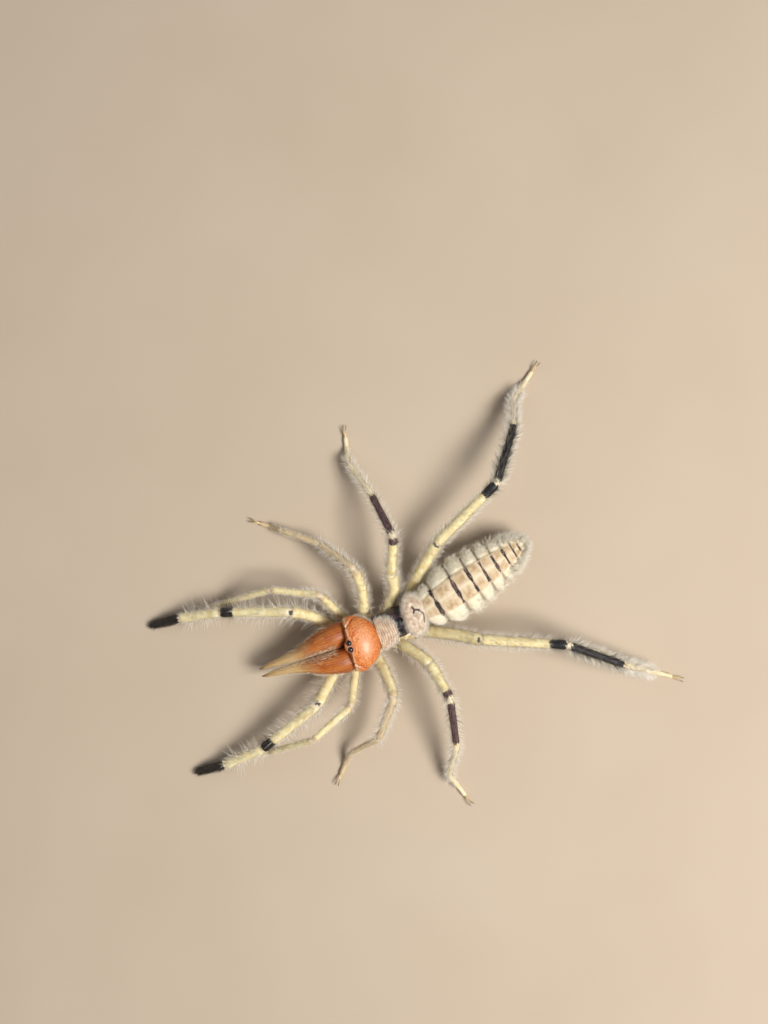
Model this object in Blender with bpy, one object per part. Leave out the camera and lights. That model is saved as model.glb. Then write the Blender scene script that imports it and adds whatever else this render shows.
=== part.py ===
"""Camel spider, a still life-size model that stands on its feet.

Lengths are in millimetres until a mesh is made, and the mesh is in metres.
+Z is up, the head points to -Y, and the animal's left side is at +X.
The body bends at the neck: the head turns one way and the abdomen the other.
"""

import math
import random

import bmesh
import bpy
from mathutils import Vector

MM = 0.001
UP = Vector((0, 0, 1))
GAP = 0.28  # clear space between two pieces that meet
HALF_GAP = GAP / 2
PLAN_CENTRE = (0.964, -1.47)  # middle of the standing animal, which becomes the origin

# Body, seen from above. A yaw is measured from -Y and turns the head to the animal's right.
HEAD_FRONT = (0.86, -6.22)  # middle of the head shield's front edge
HEAD_YAW = 10.0
NECK_YAW = 6.0
JAW_YAW = 7.2
ABDOMEN_FRONT = (0.95, 1.45)
ABDOMEN_YAW = 6.5

# Head shield, a dome on an upright rim
SHIELD_LENGTH = 2.95
SHIELD_HALF_WIDTH = 2.66
SHIELD_FLOOR = 4.35
SHIELD_TOP = 6.75
SHIELD_RIM = 0.62
SHIELD_SIDES = 22
SHIELD_FRONT_SIDES = 6  # how many of the sides make the straight front edge
SHIELD_LEVELS = 5
SHIELD_DOME = 77.4  # degrees of a quarter round that the dome rises through
SHIELD_CENTRE = -0.22 * SHIELD_LENGTH

# Eyes, side by side on a mound at the shield's front edge
EYE_RADIUS = 0.25
EYE_SPACING = 0.62
EYE_GAP = 0.12
EYE_HEIGHT = 6.52
EYE_FORWARD = 0.02

# Plates over the back
NECK_PLATE_LENGTH = 1.52
NECK_PLATE_HALF_WIDTH = 1.55
NECK_PLATE_FLOOR = 4.5
NECK_PLATE_TOP = 5.6
NECK_PLATE_TAIL = 0.5  # its width at the rear edge, as a share of the full width
REAR_PLATE_MIDDLE = (0.879, 0.645)
REAR_PLATE_YAW = -9.8  # it lies askew, with its left end further forward
REAR_PLATE_START = -1.15
REAR_PLATE_LENGTH = 1.55
REAR_PLATE_HALF_WIDTH = 2.05
REAR_PLATE_FLOOR = 4.6
REAR_PLATE_TOP = 5.75
REAR_PLATE_TAIL = 0.8
RIDGE_HEIGHT = 0.06

# Jaws, measured forward from the rear face of the pair. The bulb ends below at the hinge.
JAW_START = 0.2 + GAP
JAW_LENGTH = 8.7
JAW_HINGE = 4.2
JAW_STATIONS = (0.0, 1.0, 2.2, 3.4, JAW_HINGE, 5.4, 6.4, 7.4, 8.3, JAW_LENGTH)
JAW_OUTER = (2.44, 2.44, 2.18, 1.76, 1.41, 0.98, 0.76, 0.64, 0.5, 0.42)
JAW_TOP = (5.75, 5.95, 5.8, 5.4, 5.04, 4.5, 4.15, 3.8, 3.3, 2.95)
BULB_UNDER = (2.65, 2.62, 2.55, 2.42, 2.3)
UPPER_FINGER_UNDER = (3.5, 3.6, 3.45, 3.2, 2.9, 2.75)
FINGER_START = JAW_HINGE + 0.05 + GAP
FINGER_LENGTH = 3.97
FINGER_STATIONS = (0.0, 0.5, 1.2, 2.2, 3.2, FINGER_LENGTH)
FINGER_HALF_WIDTH = (0.5, 0.52, 0.44, 0.34, 0.28, 0.2)
FINGER_TOP = (3.15, 3.0, 2.68, 2.35, 2.2, 2.25)
FINGER_UNDER = (2.25, 2.1, 1.95, 1.82, 1.8, 1.95)
FINGER_MIDDLE = (0.68, 0.42)  # distance from the middle of the pair, at its root and at its tip
UPPER_TEETH = ((5.35, 0.8), (5.95, 1.0), (6.55, 0.75), (7.15, 0.9))
LOWER_TEETH = ((1.15, 0.8), (1.85, 0.7))
TOOTH_RADIUS = 0.2
TOOTH_HEIGHT = 0.42
TOOTH_SUNK = 0.16

# Abdomen
ABDOMEN_LENGTH = 12.0
ABDOMEN_HALF_WIDTH = 3.1
ABDOMEN_HALF_HEIGHT = 2.35
WIDEST_AT = 4.1
SEGMENT_ENDS = (0.0, 1.65, 3.95, 5.7, 7.15, 8.5, 9.7, 10.65, 11.3, ABDOMEN_LENGTH)
SEGMENT_NODES = ((0, 1), (1, 2), (2, 3), (3, 4), (4, 5), (5, 9))
PAD_BULGE = 0.07
ABDOMEN_BEND = 0.35  # how far the tail end swings to the animal's right
ABDOMEN_SIDES = 20

# Limbs: each holds the lengths from joint to joint and the radii at the joints.
# A side's pose holds the hip, the heights of the joints after it and the directions of the lengths,
# in degrees from -Y, positive to the animal's left. Its bow swings the first length out of line.
# Each length carries rows of locks, at angles round it from straight up.
SIDES = 8
SOLE_RADIUS = 0.27
SOLE_HEIGHT = SOLE_RADIUS * math.cos(math.pi / SIDES)
PALP_TIP_HEIGHT = 0.34
FEELER_TIP_HEIGHT = 0.7
FOUR_PARTS = ("femur", "tibia", "metatarsus", "tarsus")
FIVE_PARTS = ("trochanter", *FOUR_PARTS)
LIMBS = {
    "palp": {
        "parts": FOUR_PARTS,
        "lengths": (5.75, 7.2, 4.4, 3.4),
        "radii": (0.52, 0.52, 0.46, 0.44, 0.3),
        "root": (-0.6, 0.6, 1.95),
        "root_radius": 0.75,
        "tip_height": PALP_TIP_HEIGHT,
        "colours": ("straw", "straw", "straw", "black"),
        "locks": (0, 5, 3, 2),
        "lock_rows": (-85, 85),
        "left": {
            "hip": (1.91, -7.74, 1.45),
            "heights": (4.5, 3.1, 1.5),
            "turns": (36, 14, 0, -8),
            "bow": 0.0,
        },
        "right": {
            "hip": (-1.05, -7.22, 1.45),
            "heights": (4.9, 3.1, 1.5),
            "turns": (-50, -24, -16, -10),
            "bow": 0.35,
        },
    },
    "leg_1": {
        "parts": FOUR_PARTS,
        "lengths": (4.8, 5.0, 5.8, 2.3),
        "radii": (0.4, 0.36, 0.31, 0.27, 0.25),
        "root": (-1.6, 0.6, 2.3),
        "root_radius": 0.55,
        "tip_height": FEELER_TIP_HEIGHT,
        "colours": ("straw", "straw", "straw", "straw"),
        "locks": (0, 0, 0, 0),
        "lock_rows": (),
        "left": {
            "hip": (2.72, -6.5, 2.0),
            "heights": (4.2, 5.0, 1.6),
            "turns": (58, 15, -5, -10),
            "bow": 0.0,
        },
        "right": {
            "hip": (-1.41, -5.8, 2.0),
            "heights": (5.3, 4.4, 1.5),
            "turns": (-74, -31, -8, -9),
            "bow": 0.0,
        },
    },
    "leg_2": {
        "parts": FOUR_PARTS,
        "lengths": (5.0, 4.65, 4.1, 4.0),
        "radii": (0.54, 0.44, 0.34, 0.29, SOLE_RADIUS),
        "root": (-2.6, 0.7, 2.4),
        "root_radius": 0.7,
        "tip_height": SOLE_HEIGHT,
        "colours": ("straw", "straw", "straw", "straw"),
        "locks": (0, 3, 2, 0),
        "lock_rows": (-60, 60),
        "left": {
            "hip": (3.18, -4.56, 2.5),
            "heights": (5.4, 3.9, 1.4),
            "turns": (89, 45, 7, 41),
            "bow": 0.2,
        },
        "right": {
            "hip": (-1.3, -3.85, 2.5),
            "heights": (4.8, 2.7, 1.7),
            "turns": (-104, -61, -44, -43),
            "bow": 0.35,
        },
    },
    "leg_3": {
        "parts": FIVE_PARTS,
        "lengths": (3.75, 3.9, 5.3, 4.4, 4.15),
        "radii": (0.55, 0.52, 0.42, 0.34, 0.29, SOLE_RADIUS),
        "root": (-4.0, 0.7, 2.4),
        "root_radius": 0.75,
        "tip_height": SOLE_HEIGHT,
        "colours": ("straw", "straw", "dark", "straw", "straw"),
        "locks": (0, 2, 3, 3, 0),
        "lock_rows": (-60, 60),
        "left": {
            "hip": (3.15, -1.78, 2.7),
            "heights": (4.5, 6.0, 3.9, 1.2),
            "turns": (122, 95, 73, 54, 102),
            "bow": 0.1,
        },
        "right": {
            "hip": (-0.9, -1.3, 2.7),
            "heights": (4.7, 6.2, 3.6, 1.6),
            "turns": (-120, -119, -88, -79, -109),
            "bow": 0.4,
        },
    },
    "leg_4": {
        "parts": FIVE_PARTS,
        "lengths": (6.85, 8.2, 6.25, 3.65, 4.9),
        "radii": (0.62, 0.52, 0.44, 0.36, 0.31, SOLE_RADIUS),
        "root": (-5.0, 0.7, 2.15),
        "root_radius": 0.75,
        "tip_height": SOLE_HEIGHT,
        "colours": ("straw", "straw", "dark", "straw", "straw"),
        "locks": (0, 4, 5, 3, 0),
        "lock_rows": (-55, 55),
        "left": {
            "hip": (2.75, 0.5, 1.8),
            "heights": (5.3, 6.9, 4.4, 2.2),
            "turns": (148, 152, 134, 137, 139),
            "bow": 0.1,
        },
        "right": {
            "hip": (-0.65, 0.6, 1.75),
            "heights": (4.5, 6.1, 3.5, 1.4),
            "turns": (-143, -160, -134, -120, -149),
            "bow": -0.1,
        },
    },
}
SHOULDER = 0.55  # how far from a joint a limb's length reaches its full thickness
SHOULDER_SHARE = 0.82
HIP_SHARE = 1.15  # how much thicker than the limb its hip piece is beside the joint
SOLE_LENGTH = 1.3
CLAW_LENGTH = 1.1
CLAW_RADIUS = 0.2
CLAW_SPREAD = 17.0

# Locks of hair: flat and tapered, rising from their root and bending back along the lie
LOCK_LENGTH = 1.5
LOCK_WIDTH = 0.62
LOCK_THICKNESS = 0.5
LOCK_SUNK = 0.2
LOCK_RISE = 0.75
LOCK_BEND = 0.3
LOCK_SEED = 41
FRINGE_ANGLES = (-24, 4, 30)  # up from the widest line of the abdomen
FRINGE_ROOTS = (3.0, 4.2, 4.8, 6.0, 7.42, 8.75, 9.95, 10.85)

# Trunk under the shields, with the hip pieces of the limbs
TRUNK_FLOOR = 1.75
TRUNK_STATIONS = (0.0, 0.36, 0.45, 0.62, 0.8, 1.0)
TRUNK_HALF_WIDTHS = (1.5, 1.7, 1.5, 1.4, 1.3, 1.05)
TRUNK_TOPS = (4.05, 4.05, 4.2, 4.3, 4.3, 4.3)
TRUNK_STEPS = 11

COLOURS = {
    "orange": ((0.72, 0.22, 0.04), 0.35),
    "amber": ((0.66, 0.25, 0.05), 0.35),
    "straw": ((0.80, 0.70, 0.42), 0.5),
    "dark": ((0.09, 0.07, 0.07), 0.5),
    "black": ((0.03, 0.025, 0.025), 0.5),
    "cream": ((0.82, 0.76, 0.64), 0.6),
    "eye": ((0.01, 0.01, 0.01), 0.1),
}


def clear_scene():
    """Empties the scene that the script starts in."""
    for thing in list(bpy.data.objects):
        bpy.data.objects.remove(thing)


def finish(colour):
    """The material of a colour name, made once."""
    material = bpy.data.materials.get(colour)
    if material is None:
        material = bpy.data.materials.new(colour)
        material.use_nodes = True
        base, roughness = COLOURS[colour]
        shader = material.node_tree.nodes["Principled BSDF"]
        shader.inputs["Base Color"].default_value = (*base, 1)
        shader.inputs["Roughness"].default_value = roughness
    return material


def place(point):
    """A point in millimetres as a mesh point in metres, with the origin under the middle of the animal."""
    return Vector((point[0] - PLAN_CENTRE[0], point[1] - PLAN_CENTRE[1], point[2])) * MM


def to_object(name, mesh, colour):
    """Ends a mesh that is being built and puts it in the scene."""
    data = bpy.data.meshes.new(name)
    mesh.to_mesh(data)
    mesh.free()
    data.shade_smooth()
    data.set_sharp_from_angle(angle=math.radians(40))
    data.materials.append(finish(colour))
    made = bpy.data.objects.new(name, data)
    bpy.context.scene.collection.objects.link(made)
    return made


def solid(name, rings, colour, tips=(None, None)):
    """One closed body through rings of points. An end is a flat cap, or comes to the tip given for it."""
    mesh = bmesh.new()
    loops = [[mesh.verts.new(place(point)) for point in ring] for ring in rings]
    for near, far in zip(loops, loops[1:]):
        for k in range(len(near)):
            after = (k + 1) % len(near)
            mesh.faces.new((near[k], near[after], far[after], far[k]))
    for loop, tip in ((loops[0], tips[0]), (loops[-1], tips[1])):
        if tip is None:
            mesh.faces.new(loop)
        else:
            point = mesh.verts.new(place(tip))
            for k in range(len(loop)):
                mesh.faces.new((loop[k], loop[(k + 1) % len(loop)], point))
    bmesh.ops.recalc_face_normals(mesh, faces=mesh.faces)
    return to_object(name, mesh, colour)


def hull(name, points, colour):
    """The closed shell stretched round a set of points."""
    mesh = bmesh.new()
    for point in points:
        mesh.verts.new(place(point))
    made = bmesh.ops.convex_hull(mesh, input=mesh.verts)
    inside = [part for part in made["geom_interior"] if isinstance(part, bmesh.types.BMVert)]
    bmesh.ops.delete(mesh, geom=inside, context="VERTS")
    bmesh.ops.recalc_face_normals(mesh, faces=mesh.faces)
    return to_object(name, mesh, colour)


def combine(base, extras, operation="UNION"):
    """Joins the extras to the base with one union, or cuts them out of it, and removes them."""
    if not extras:
        return base
    group = bpy.data.collections.new(base.name + "_extras")
    bpy.context.scene.collection.children.link(group)
    for extra in extras:
        bpy.context.scene.collection.objects.unlink(extra)
        group.objects.link(extra)
    joint = base.modifiers.new("combine", "BOOLEAN")
    joint.operation = operation
    joint.operand_type = "COLLECTION"
    joint.collection = group
    joint.solver = "EXACT"
    apply_modifiers(base)
    for extra in extras:
        bpy.data.objects.remove(extra)
    bpy.data.collections.remove(group)
    keep_largest(base)
    return base


def apply_modifiers(thing):
    """Turns what the modifiers give into the object's own mesh."""
    graph = bpy.context.evaluated_depsgraph_get()
    made = bpy.data.meshes.new_from_object(thing.evaluated_get(graph))
    thing.modifiers.clear()
    thing.data = made


def keep_largest(thing):
    """Keeps only the largest closed surface of a mesh, so that no scrap of a union stays."""
    mesh = bmesh.new()
    mesh.from_mesh(thing.data)
    bmesh.ops.remove_doubles(mesh, verts=mesh.verts, dist=1e-6)
    left, shells = set(mesh.verts), []
    while left:
        shell, front = set(), [left.pop()]
        while front:
            vert = front.pop()
            shell.add(vert)
            near = {edge.other_vert(vert) for edge in vert.link_edges} & left
            left -= near
            front.extend(near)
        shells.append(shell)
    shells.sort(key=len)
    loose = [vert for shell in shells[:-1] for vert in shell]
    bmesh.ops.delete(mesh, geom=loose, context="VERTS")
    mesh.to_mesh(thing.data)
    mesh.free()


class Line:
    """A straight stretch of the body: along it, sideways and up from its origin."""

    def __init__(self, origin, along, left):
        self.origin = Vector((origin[0], origin[1], 0))
        self.along = along
        self.left = left

    def at(self, along, left, height):
        return self.origin + self.along * along + self.left * left + UP * height

    def from_point(self, along):
        """The same line with its origin moved along it."""
        return Line(self.origin + self.along * along, self.along, self.left)


def forward_line(origin, yaw):
    """A line that runs towards the head."""
    turn = math.radians(yaw)
    along = Vector((-math.sin(turn), -math.cos(turn), 0))
    return Line(origin, along, Vector((math.cos(turn), -math.sin(turn), 0)))


def rearward_line(origin, yaw):
    """A line that runs towards the tail."""
    turn = math.radians(yaw)
    along = Vector((-math.sin(turn), math.cos(turn), 0))
    return Line(origin, along, Vector((math.cos(turn), math.sin(turn), 0)))


def mix(a, b, share):
    return a + (b - a) * share


def table(stations, values, where):
    """A value read between named stations, eased half way so that the outline has no hard corners."""
    for k in range(len(stations) - 1):
        if where <= stations[k + 1] or k == len(stations) - 2:
            share = (where - stations[k]) / (stations[k + 1] - stations[k])
            share = min(1.0, max(0.0, share))
            eased = share * share * (3 - 2 * share)
            return mix(values[k], values[k + 1], (share + eased) / 2)


def oval(line, along, left, height, half_width, half_height, sides, fullness=2.0, skew=0.0):
    """A ring of points square to a line: an ellipse, or a fuller shape with fullness above 2.
    skew carries its left side forward, so that it stands along a slanting edge."""
    ring = []
    for k in range(sides):
        angle = 2 * math.pi * (k + 0.5) / sides
        c, s = math.cos(angle), math.sin(angle)
        reach = (abs(c) ** fullness + abs(s) ** fullness) ** (-1 / fullness)
        off = left + half_width * reach * c
        ring.append(line.at(along + skew * off, off, height + half_height * reach * s))
    return ring


def ball(name, centre, radius, sides, levels, colour):
    """A sphere of a few flat rings, closed by a point above and below."""
    rings = []
    for level in range(1, levels):
        angle = math.pi * level / levels
        low = centre - UP * radius * math.cos(angle)
        wide = radius * math.sin(angle)
        rings.append([low + flat_way(360 * k / sides) * wide for k in range(sides)])
    return solid(name, rings, colour, (centre - UP * radius, centre + UP * radius))


def flat_way(turn):
    """The level unit direction at a turn in degrees from +X."""
    return Vector((math.cos(math.radians(turn)), math.sin(math.radians(turn)), 0))


def head_shield(head):
    """The domed shield over the head, straight in front and round behind, with the mound of the eyes."""
    rings = [[shield_point(head, k, 0.97, SHIELD_FLOOR) for k in range(SHIELD_SIDES)]]
    dome = math.radians(SHIELD_DOME)
    for level in range(SHIELD_LEVELS + 1):
        angle = dome * level / SHIELD_LEVELS
        height = mix(SHIELD_FLOOR + SHIELD_RIM, SHIELD_TOP, math.sin(angle) / math.sin(dome))
        rings.append([shield_point(head, k, math.cos(angle), height) for k in range(SHIELD_SIDES)])
    shield = solid("head_shield", rings, "orange")
    combine(shield, [eye_mound(head), shield_lobe(head, -1), shield_lobe(head, 1)])
    sockets = [
        ball("socket", eye_centre(head, side), EYE_RADIUS + EYE_GAP, 10, 6, "orange") for side in (-1, 1)
    ]
    return combine(shield, sockets, "DIFFERENCE")


def shield_point(head, number, shrink, height):
    """A point of the shield's outline, numbered from the left front corner along the straight front edge
    to the right one and on round the back. shrink draws it in towards the top of the dome."""
    if number < SHIELD_FRONT_SIDES:
        share = number / SHIELD_FRONT_SIDES
        left = mix(SHIELD_HALF_WIDTH, -SHIELD_HALF_WIDTH, share) * 0.96
        along = -0.02 + 0.12 * math.cos(2 * math.pi * share)
        return head.at(mix(SHIELD_CENTRE, along, mix(shrink, 1, 0.35)), left * shrink, height)
    angle = math.pi * (number - SHIELD_FRONT_SIDES) / (SHIELD_SIDES - SHIELD_FRONT_SIDES)
    left = -SHIELD_HALF_WIDTH * 1.03 * math.cos(angle)
    along = -SHIELD_LENGTH * math.sin(angle) ** 0.8
    return head.at(mix(SHIELD_CENTRE, along, shrink), left * shrink, height)


def eye_mound(head):
    """The low mound that the eyes are let into."""
    levels = ((0.0, 0.62), (0.5, 0.6), (0.85, 0.5), (1.0, 0.3))
    rings = []
    for share, radius in levels:
        height = mix(SHIELD_TOP - 0.85, EYE_HEIGHT + 0.14, share)
        rings.append(
            [
                head.at(EYE_FORWARD - 0.18 + radius * 0.8 * way.x, radius * 1.05 * way.y, height)
                for way in map(flat_way, range(0, 360, 30))
            ]
        )
    return solid("eye_mound", rings, "orange")


def shield_lobe(head, side):
    """The small folded lobe at each front corner of the shield."""
    stations = ((-1.1, 0.3, 0.42), (-0.55, 0.42, 0.62), (0.0, 0.4, 0.6), (0.3, 0.24, 0.4))
    rings = [
        oval(head, along, side * (SHIELD_HALF_WIDTH - 0.28), SHIELD_FLOOR + 0.45, wide, high, 8)
        for along, wide, high in stations
    ]
    return solid("lobe", rings, "orange")


def eye_centre(head, side):
    return head.at(EYE_FORWARD, side * EYE_SPACING / 2, EYE_HEIGHT)


def side_name(name, side):
    return name + ("_left" if side > 0 else "_right")


def jaw_under(where):
    """Height of the jaw's lower side: the deep bulb as far as the hinge, the thin upper finger past it."""
    hinge = JAW_STATIONS.index(JAW_HINGE)
    if where <= JAW_HINGE:
        return table(JAW_STATIONS[: hinge + 1], BULB_UNDER, where)
    return table(JAW_STATIONS[hinge:], UPPER_FINGER_UNDER, where)


def jaw(line, side):
    """The bulb of one jaw and its fixed upper finger, with the teeth of the finger."""
    steps = 8
    places = [mix(0, JAW_HINGE, k / steps) for k in range(steps + 1)]
    places += [mix(JAW_HINGE + 0.1, JAW_LENGTH, k / steps) for k in range(steps + 1)]
    slant = math.tan(math.radians(HEAD_YAW - JAW_YAW))  # the rear face lies along the head shield
    rings = []
    for where in places:
        outer = table(JAW_STATIONS, JAW_OUTER, where)
        top, under = table(JAW_STATIONS, JAW_TOP, where), jaw_under(where)
        middle, half = side * (outer + HALF_GAP) / 2, (outer - HALF_GAP) / 2
        skew = slant * max(0, 1 - where / 4)
        rings.append(oval(line, where, middle, (top + under) / 2, half, (top - under) / 2, 12, 2.25, skew))
    bulb = solid(side_name("jaw", side), rings, "amber", (None, line.at(JAW_LENGTH + 0.25, side * 0.3, 2.7)))
    teeth = []
    for where, size in UPPER_TEETH:
        across = side * (table(JAW_STATIONS, JAW_OUTER, where) + HALF_GAP) / 2
        teeth.append(tooth(line.at(where, across, jaw_under(where)), -UP, size))
    return combine(bulb, teeth)


def tooth(foot, way, size):
    """A short cone with its root sunk in the finger."""
    root = foot - way * TOOTH_SUNK
    ring = [root + flat_way(72 * k) * TOOTH_RADIUS * size for k in range(5)]
    return solid("tooth", [ring], "amber", (None, foot + way * TOOTH_HEIGHT * size))


def finger(line, side):
    """The lower finger of a jaw, which is hung from the front of the bulb and closes upwards."""
    rings = []
    for step in range(9):
        where = FINGER_LENGTH * step / 8
        half = table(FINGER_STATIONS, FINGER_HALF_WIDTH, where)
        top = table(FINGER_STATIONS, FINGER_TOP, where)
        under = table(FINGER_STATIONS, FINGER_UNDER, where)
        middle = side * max(HALF_GAP + half, mix(*FINGER_MIDDLE, where / FINGER_LENGTH))
        rings.append(oval(line, FINGER_START + where, middle, (top + under) / 2, half, (top - under) / 2, 8))
    tip = line.at(FINGER_START + FINGER_LENGTH + 0.15, side * 0.35, 2.5)
    lower = solid(side_name("jaw_finger", side), rings, "amber", (None, tip))
    teeth = []
    for where, size in LOWER_TEETH:
        across = side * mix(*FINGER_MIDDLE, where / FINGER_LENGTH)
        top = table(FINGER_STATIONS, FINGER_TOP, where)
        teeth.append(tooth(line.at(FINGER_START + where, across, top), UP, size))
    return combine(lower, teeth)


def back_plate(name, line, length, half_width, floor, top, tail, ridges):
    """A cross-wise plate over the trunk that runs on from the line's origin. tail is how wide it starts.
    It is arched from side to side and along its length, with ridges across it."""
    rings = []
    steps = 2 * ridges + 2
    for step in range(steps + 1):
        share = step / steps
        arch = math.sin(math.pi * mix(0.16, 0.84, share))
        swell = RIDGE_HEIGHT * (step % 2) if ridges > 1 else 0
        wide = half_width * mix(mix(tail, 0.85, share), 1.0, arch)
        rise = mix(0.45, top - floor, arch) + swell
        ring = []
        for k in range(13):
            angle = math.pi * k / 12
            height = floor + rise * math.sin(angle) ** 0.7
            ring.append(line.at(length * share, wide * math.cos(angle), height))
        for k in range(1, 4):
            ring.append(line.at(length * share, mix(-wide, wide, k / 4), floor))
        rings.append(ring)
    return solid(name, rings, "cream")


def trunk(head, rear):
    """The dark soft body under the shields, with the hip pieces that the limbs grow from."""
    start, end = head.at(-0.25, 0, 0), rear.at(-GAP, 0, 0)
    along = (end - start).normalized()
    line = Line(start, along, UP.cross(along))
    length = (end - start).length
    rings = []
    for step in range(TRUNK_STEPS):
        share = step / (TRUNK_STEPS - 1)
        half = table(TRUNK_STATIONS, TRUNK_HALF_WIDTHS, share)
        top = table(TRUNK_STATIONS, TRUNK_TOPS, share)
        middle, height = (top + TRUNK_FLOOR) / 2, (top - TRUNK_FLOOR) / 2
        rings.append(oval(line, share * length, 0, middle, half, height, 14, 2.3))
    hips = [hip_piece(head, shape, side) for shape in LIMBS.values() for side in ("left", "right")]
    return combine(solid("trunk", rings, "dark"), hips)


def hip_piece(head, shape, side):
    """The fixed hip of a limb: it swells from the trunk and narrows to the limb's first joint."""
    radius = shape["radii"][0]
    joints = limb_joints(shape, side)
    hip, away = joints[0], (joints[1] - joints[0]).normalized()
    along, apart, height = shape["root"]
    root = head.at(along, apart if side == "left" else -apart, height)
    points = cross_ring(root, (hip - root).normalized(), shape["root_radius"], SIDES)
    points += cross_ring(hip - away * (HALF_GAP + radius * 0.8), away, radius * HIP_SHARE, SIDES)
    points += cross_ring(hip - away * HALF_GAP, away, radius * SHOULDER_SHARE, SIDES)
    return hull("hip", points, "dark")


def limb_joints(shape, side):
    """The joints of a limb: each length goes out in its direction and ends at its height."""
    pose = shape[side]
    heights = pose["heights"] + (shape["tip_height"],)
    joints = [Vector(pose["hip"])]
    for length, height, turn in zip(shape["lengths"], heights, pose["turns"]):
        rise = height - joints[-1].z
        reach = math.sqrt(length**2 - rise**2)
        joints.append(joints[-1] + flat_way(turn - 90) * reach + UP * rise)
    return joints


def cross_ring(centre, way, radius, sides):
    """A ring square to a direction, with a flat facet turned down."""
    side = way.cross(UP).normalized()
    up = side.cross(way)
    ring = []
    for k in range(sides):
        angle = 2 * math.pi * (k + 0.5) / sides
        ring.append(centre + side * radius * math.cos(angle) + up * radius * math.sin(angle))
    return ring


def slide_to_plane(ring, way, point, normal, offset):
    """Moves each point of a ring along a direction until it lies in a plane."""
    return [p + way * ((offset - (p - point).dot(normal)) / way.dot(normal)) for p in ring]


def tube_rings(path, radii, sides, first_normal=None, first_offset=0, last_normal=None, last_offset=0):
    """Rings along a path of points, mitred where it bends and at its ends."""
    ways = [(b - a).normalized() for a, b in zip(path, path[1:])]
    rings = []
    for k, (point, radius) in enumerate(zip(path, radii)):
        if k == 0:
            way, normal, offset = ways[0], first_normal or ways[0], first_offset
        elif k == len(path) - 1:
            way, normal, offset = ways[-1], last_normal or ways[-1], last_offset
        else:
            way, normal, offset = ways[k], (ways[k - 1] + ways[k]).normalized(), 0
        rings.append(slide_to_plane(cross_ring(point, way, radius, sides), way, point, normal, offset))
    return rings


def lock(foot, lie, out, length, width, colour):
    """A flat, tapered lock of hair: it leaves its foot on the surface and bends back along the lie."""
    across = lie.cross(out).normalized()
    rings = []
    for share, size in ((0.0, 1.0), (0.45, 0.85), (0.8, 0.5)):
        centre = foot - out * LOCK_SUNK + lock_step(lie, out, length, share)
        flat = across.cross(lie * 1.0 + out * (LOCK_RISE - 2 * LOCK_BEND * share)).normalized()
        wide, thick = across * width / 2 * size, flat * LOCK_THICKNESS / 2 * size
        rings.append([centre + wide, centre + thick, centre - wide, centre - thick])
    return solid("lock", rings, colour, (None, foot - out * LOCK_SUNK + lock_step(lie, out, length, 1)))


def lock_step(lie, out, length, share):
    """How far a lock has come from its root: along the lie, and out by a rise that eases off."""
    return (lie + out * (LOCK_RISE - LOCK_BEND * share)) * length * share * 0.85


def limb_piece(name, start, end, radii, normals, bow, colour):
    """One length of a limb: shoulders at both ends, a little thicker towards the far one.
    bow is how far its middle swings sideways, out of the straight line from joint to joint."""
    way = (end - start).normalized()
    length = (end - start).length
    near, far = radii
    side = way.cross(UP).normalized()
    path, widths = [start], [near * SHOULDER_SHARE]
    for along, radius in (
        (SHOULDER, near),
        (length * 0.4, mix(near, far, 0.45) * 0.97),
        (length * 0.75, mix(near, far, 0.8) * 1.04),
        (length - SHOULDER, far * 1.04),
    ):
        path.append(start + way * along + side * bow * math.sin(math.pi * along / length))
        widths.append(radius)
    path.append(end)
    widths.append(far * SHOULDER_SHARE)
    rings = tube_rings(path, widths, SIDES, normals[0], HALF_GAP, normals[1], -HALF_GAP)
    return solid(name, rings, colour), path, widths


def walking_foot(name, ankle, tip, radii, normal, colour):
    """The last length of a walking leg: it comes down, runs flat along the floor and ends in two claws."""
    flat = Vector((tip.x - ankle.x, tip.y - ankle.y, 0)).normalized()
    sole_end = tip - flat * CLAW_LENGTH
    sole_start = sole_end - flat * SOLE_LENGTH
    fall = sole_start - ankle
    path = [ankle, ankle + fall.normalized() * SHOULDER, ankle + fall * 0.6, sole_start, sole_end]
    widths = [radii[0] * SHOULDER_SHARE, radii[0], mix(radii[0], SOLE_RADIUS, 0.6), SOLE_RADIUS, SOLE_RADIUS]
    rings = tube_rings(path, widths, SIDES, normal, HALF_GAP)
    foot = solid(name, rings, colour, (None, sole_end + flat * 0.2 + UP * 0.02))
    combine(foot, [claw(sole_end, flat, turn) for turn in (-CLAW_SPREAD, CLAW_SPREAD)])
    return foot, path[:4], widths[:4]


def claw(root, flat, spread):
    """One claw: it rises from the foot, arches forward and comes down to its tip."""
    turn = math.radians(spread)
    side = UP.cross(flat)
    way = flat * math.cos(turn) + side * math.sin(turn)
    start = root - flat * 0.22
    path, widths = [], []
    for share, lift, size in ((0.0, 0.0, 0.95), (0.35, 0.1, 1.0), (0.7, 0.12, 0.7), (1.0, -0.04, 0.4)):
        path.append(start + way * share * (CLAW_LENGTH + 0.1) + UP * lift)
        widths.append(CLAW_RADIUS * size)
    return solid("claw", tube_rings(path, widths, 6), "straw", (None, path[-1] + way * 0.14 - UP * 0.08))


def feeler_tip(name, start, end, radii, normal, colour):
    """The last length of a limb that ends round, without claws."""
    way = (end - start).normalized()
    length = (end - start).length
    path, widths = [start], [radii[0] * SHOULDER_SHARE]
    for along, radius in (
        (SHOULDER, radii[0]),
        (length * 0.55, mix(radii[0], radii[1], 0.5)),
        (length * 0.85, radii[1]),
        (length - 0.1, radii[1] * 0.6),
    ):
        path.append(start + way * along)
        widths.append(radius)
    return solid(name, tube_rings(path, widths, SIDES, normal, HALF_GAP), colour, (None, end)), path, widths


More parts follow.
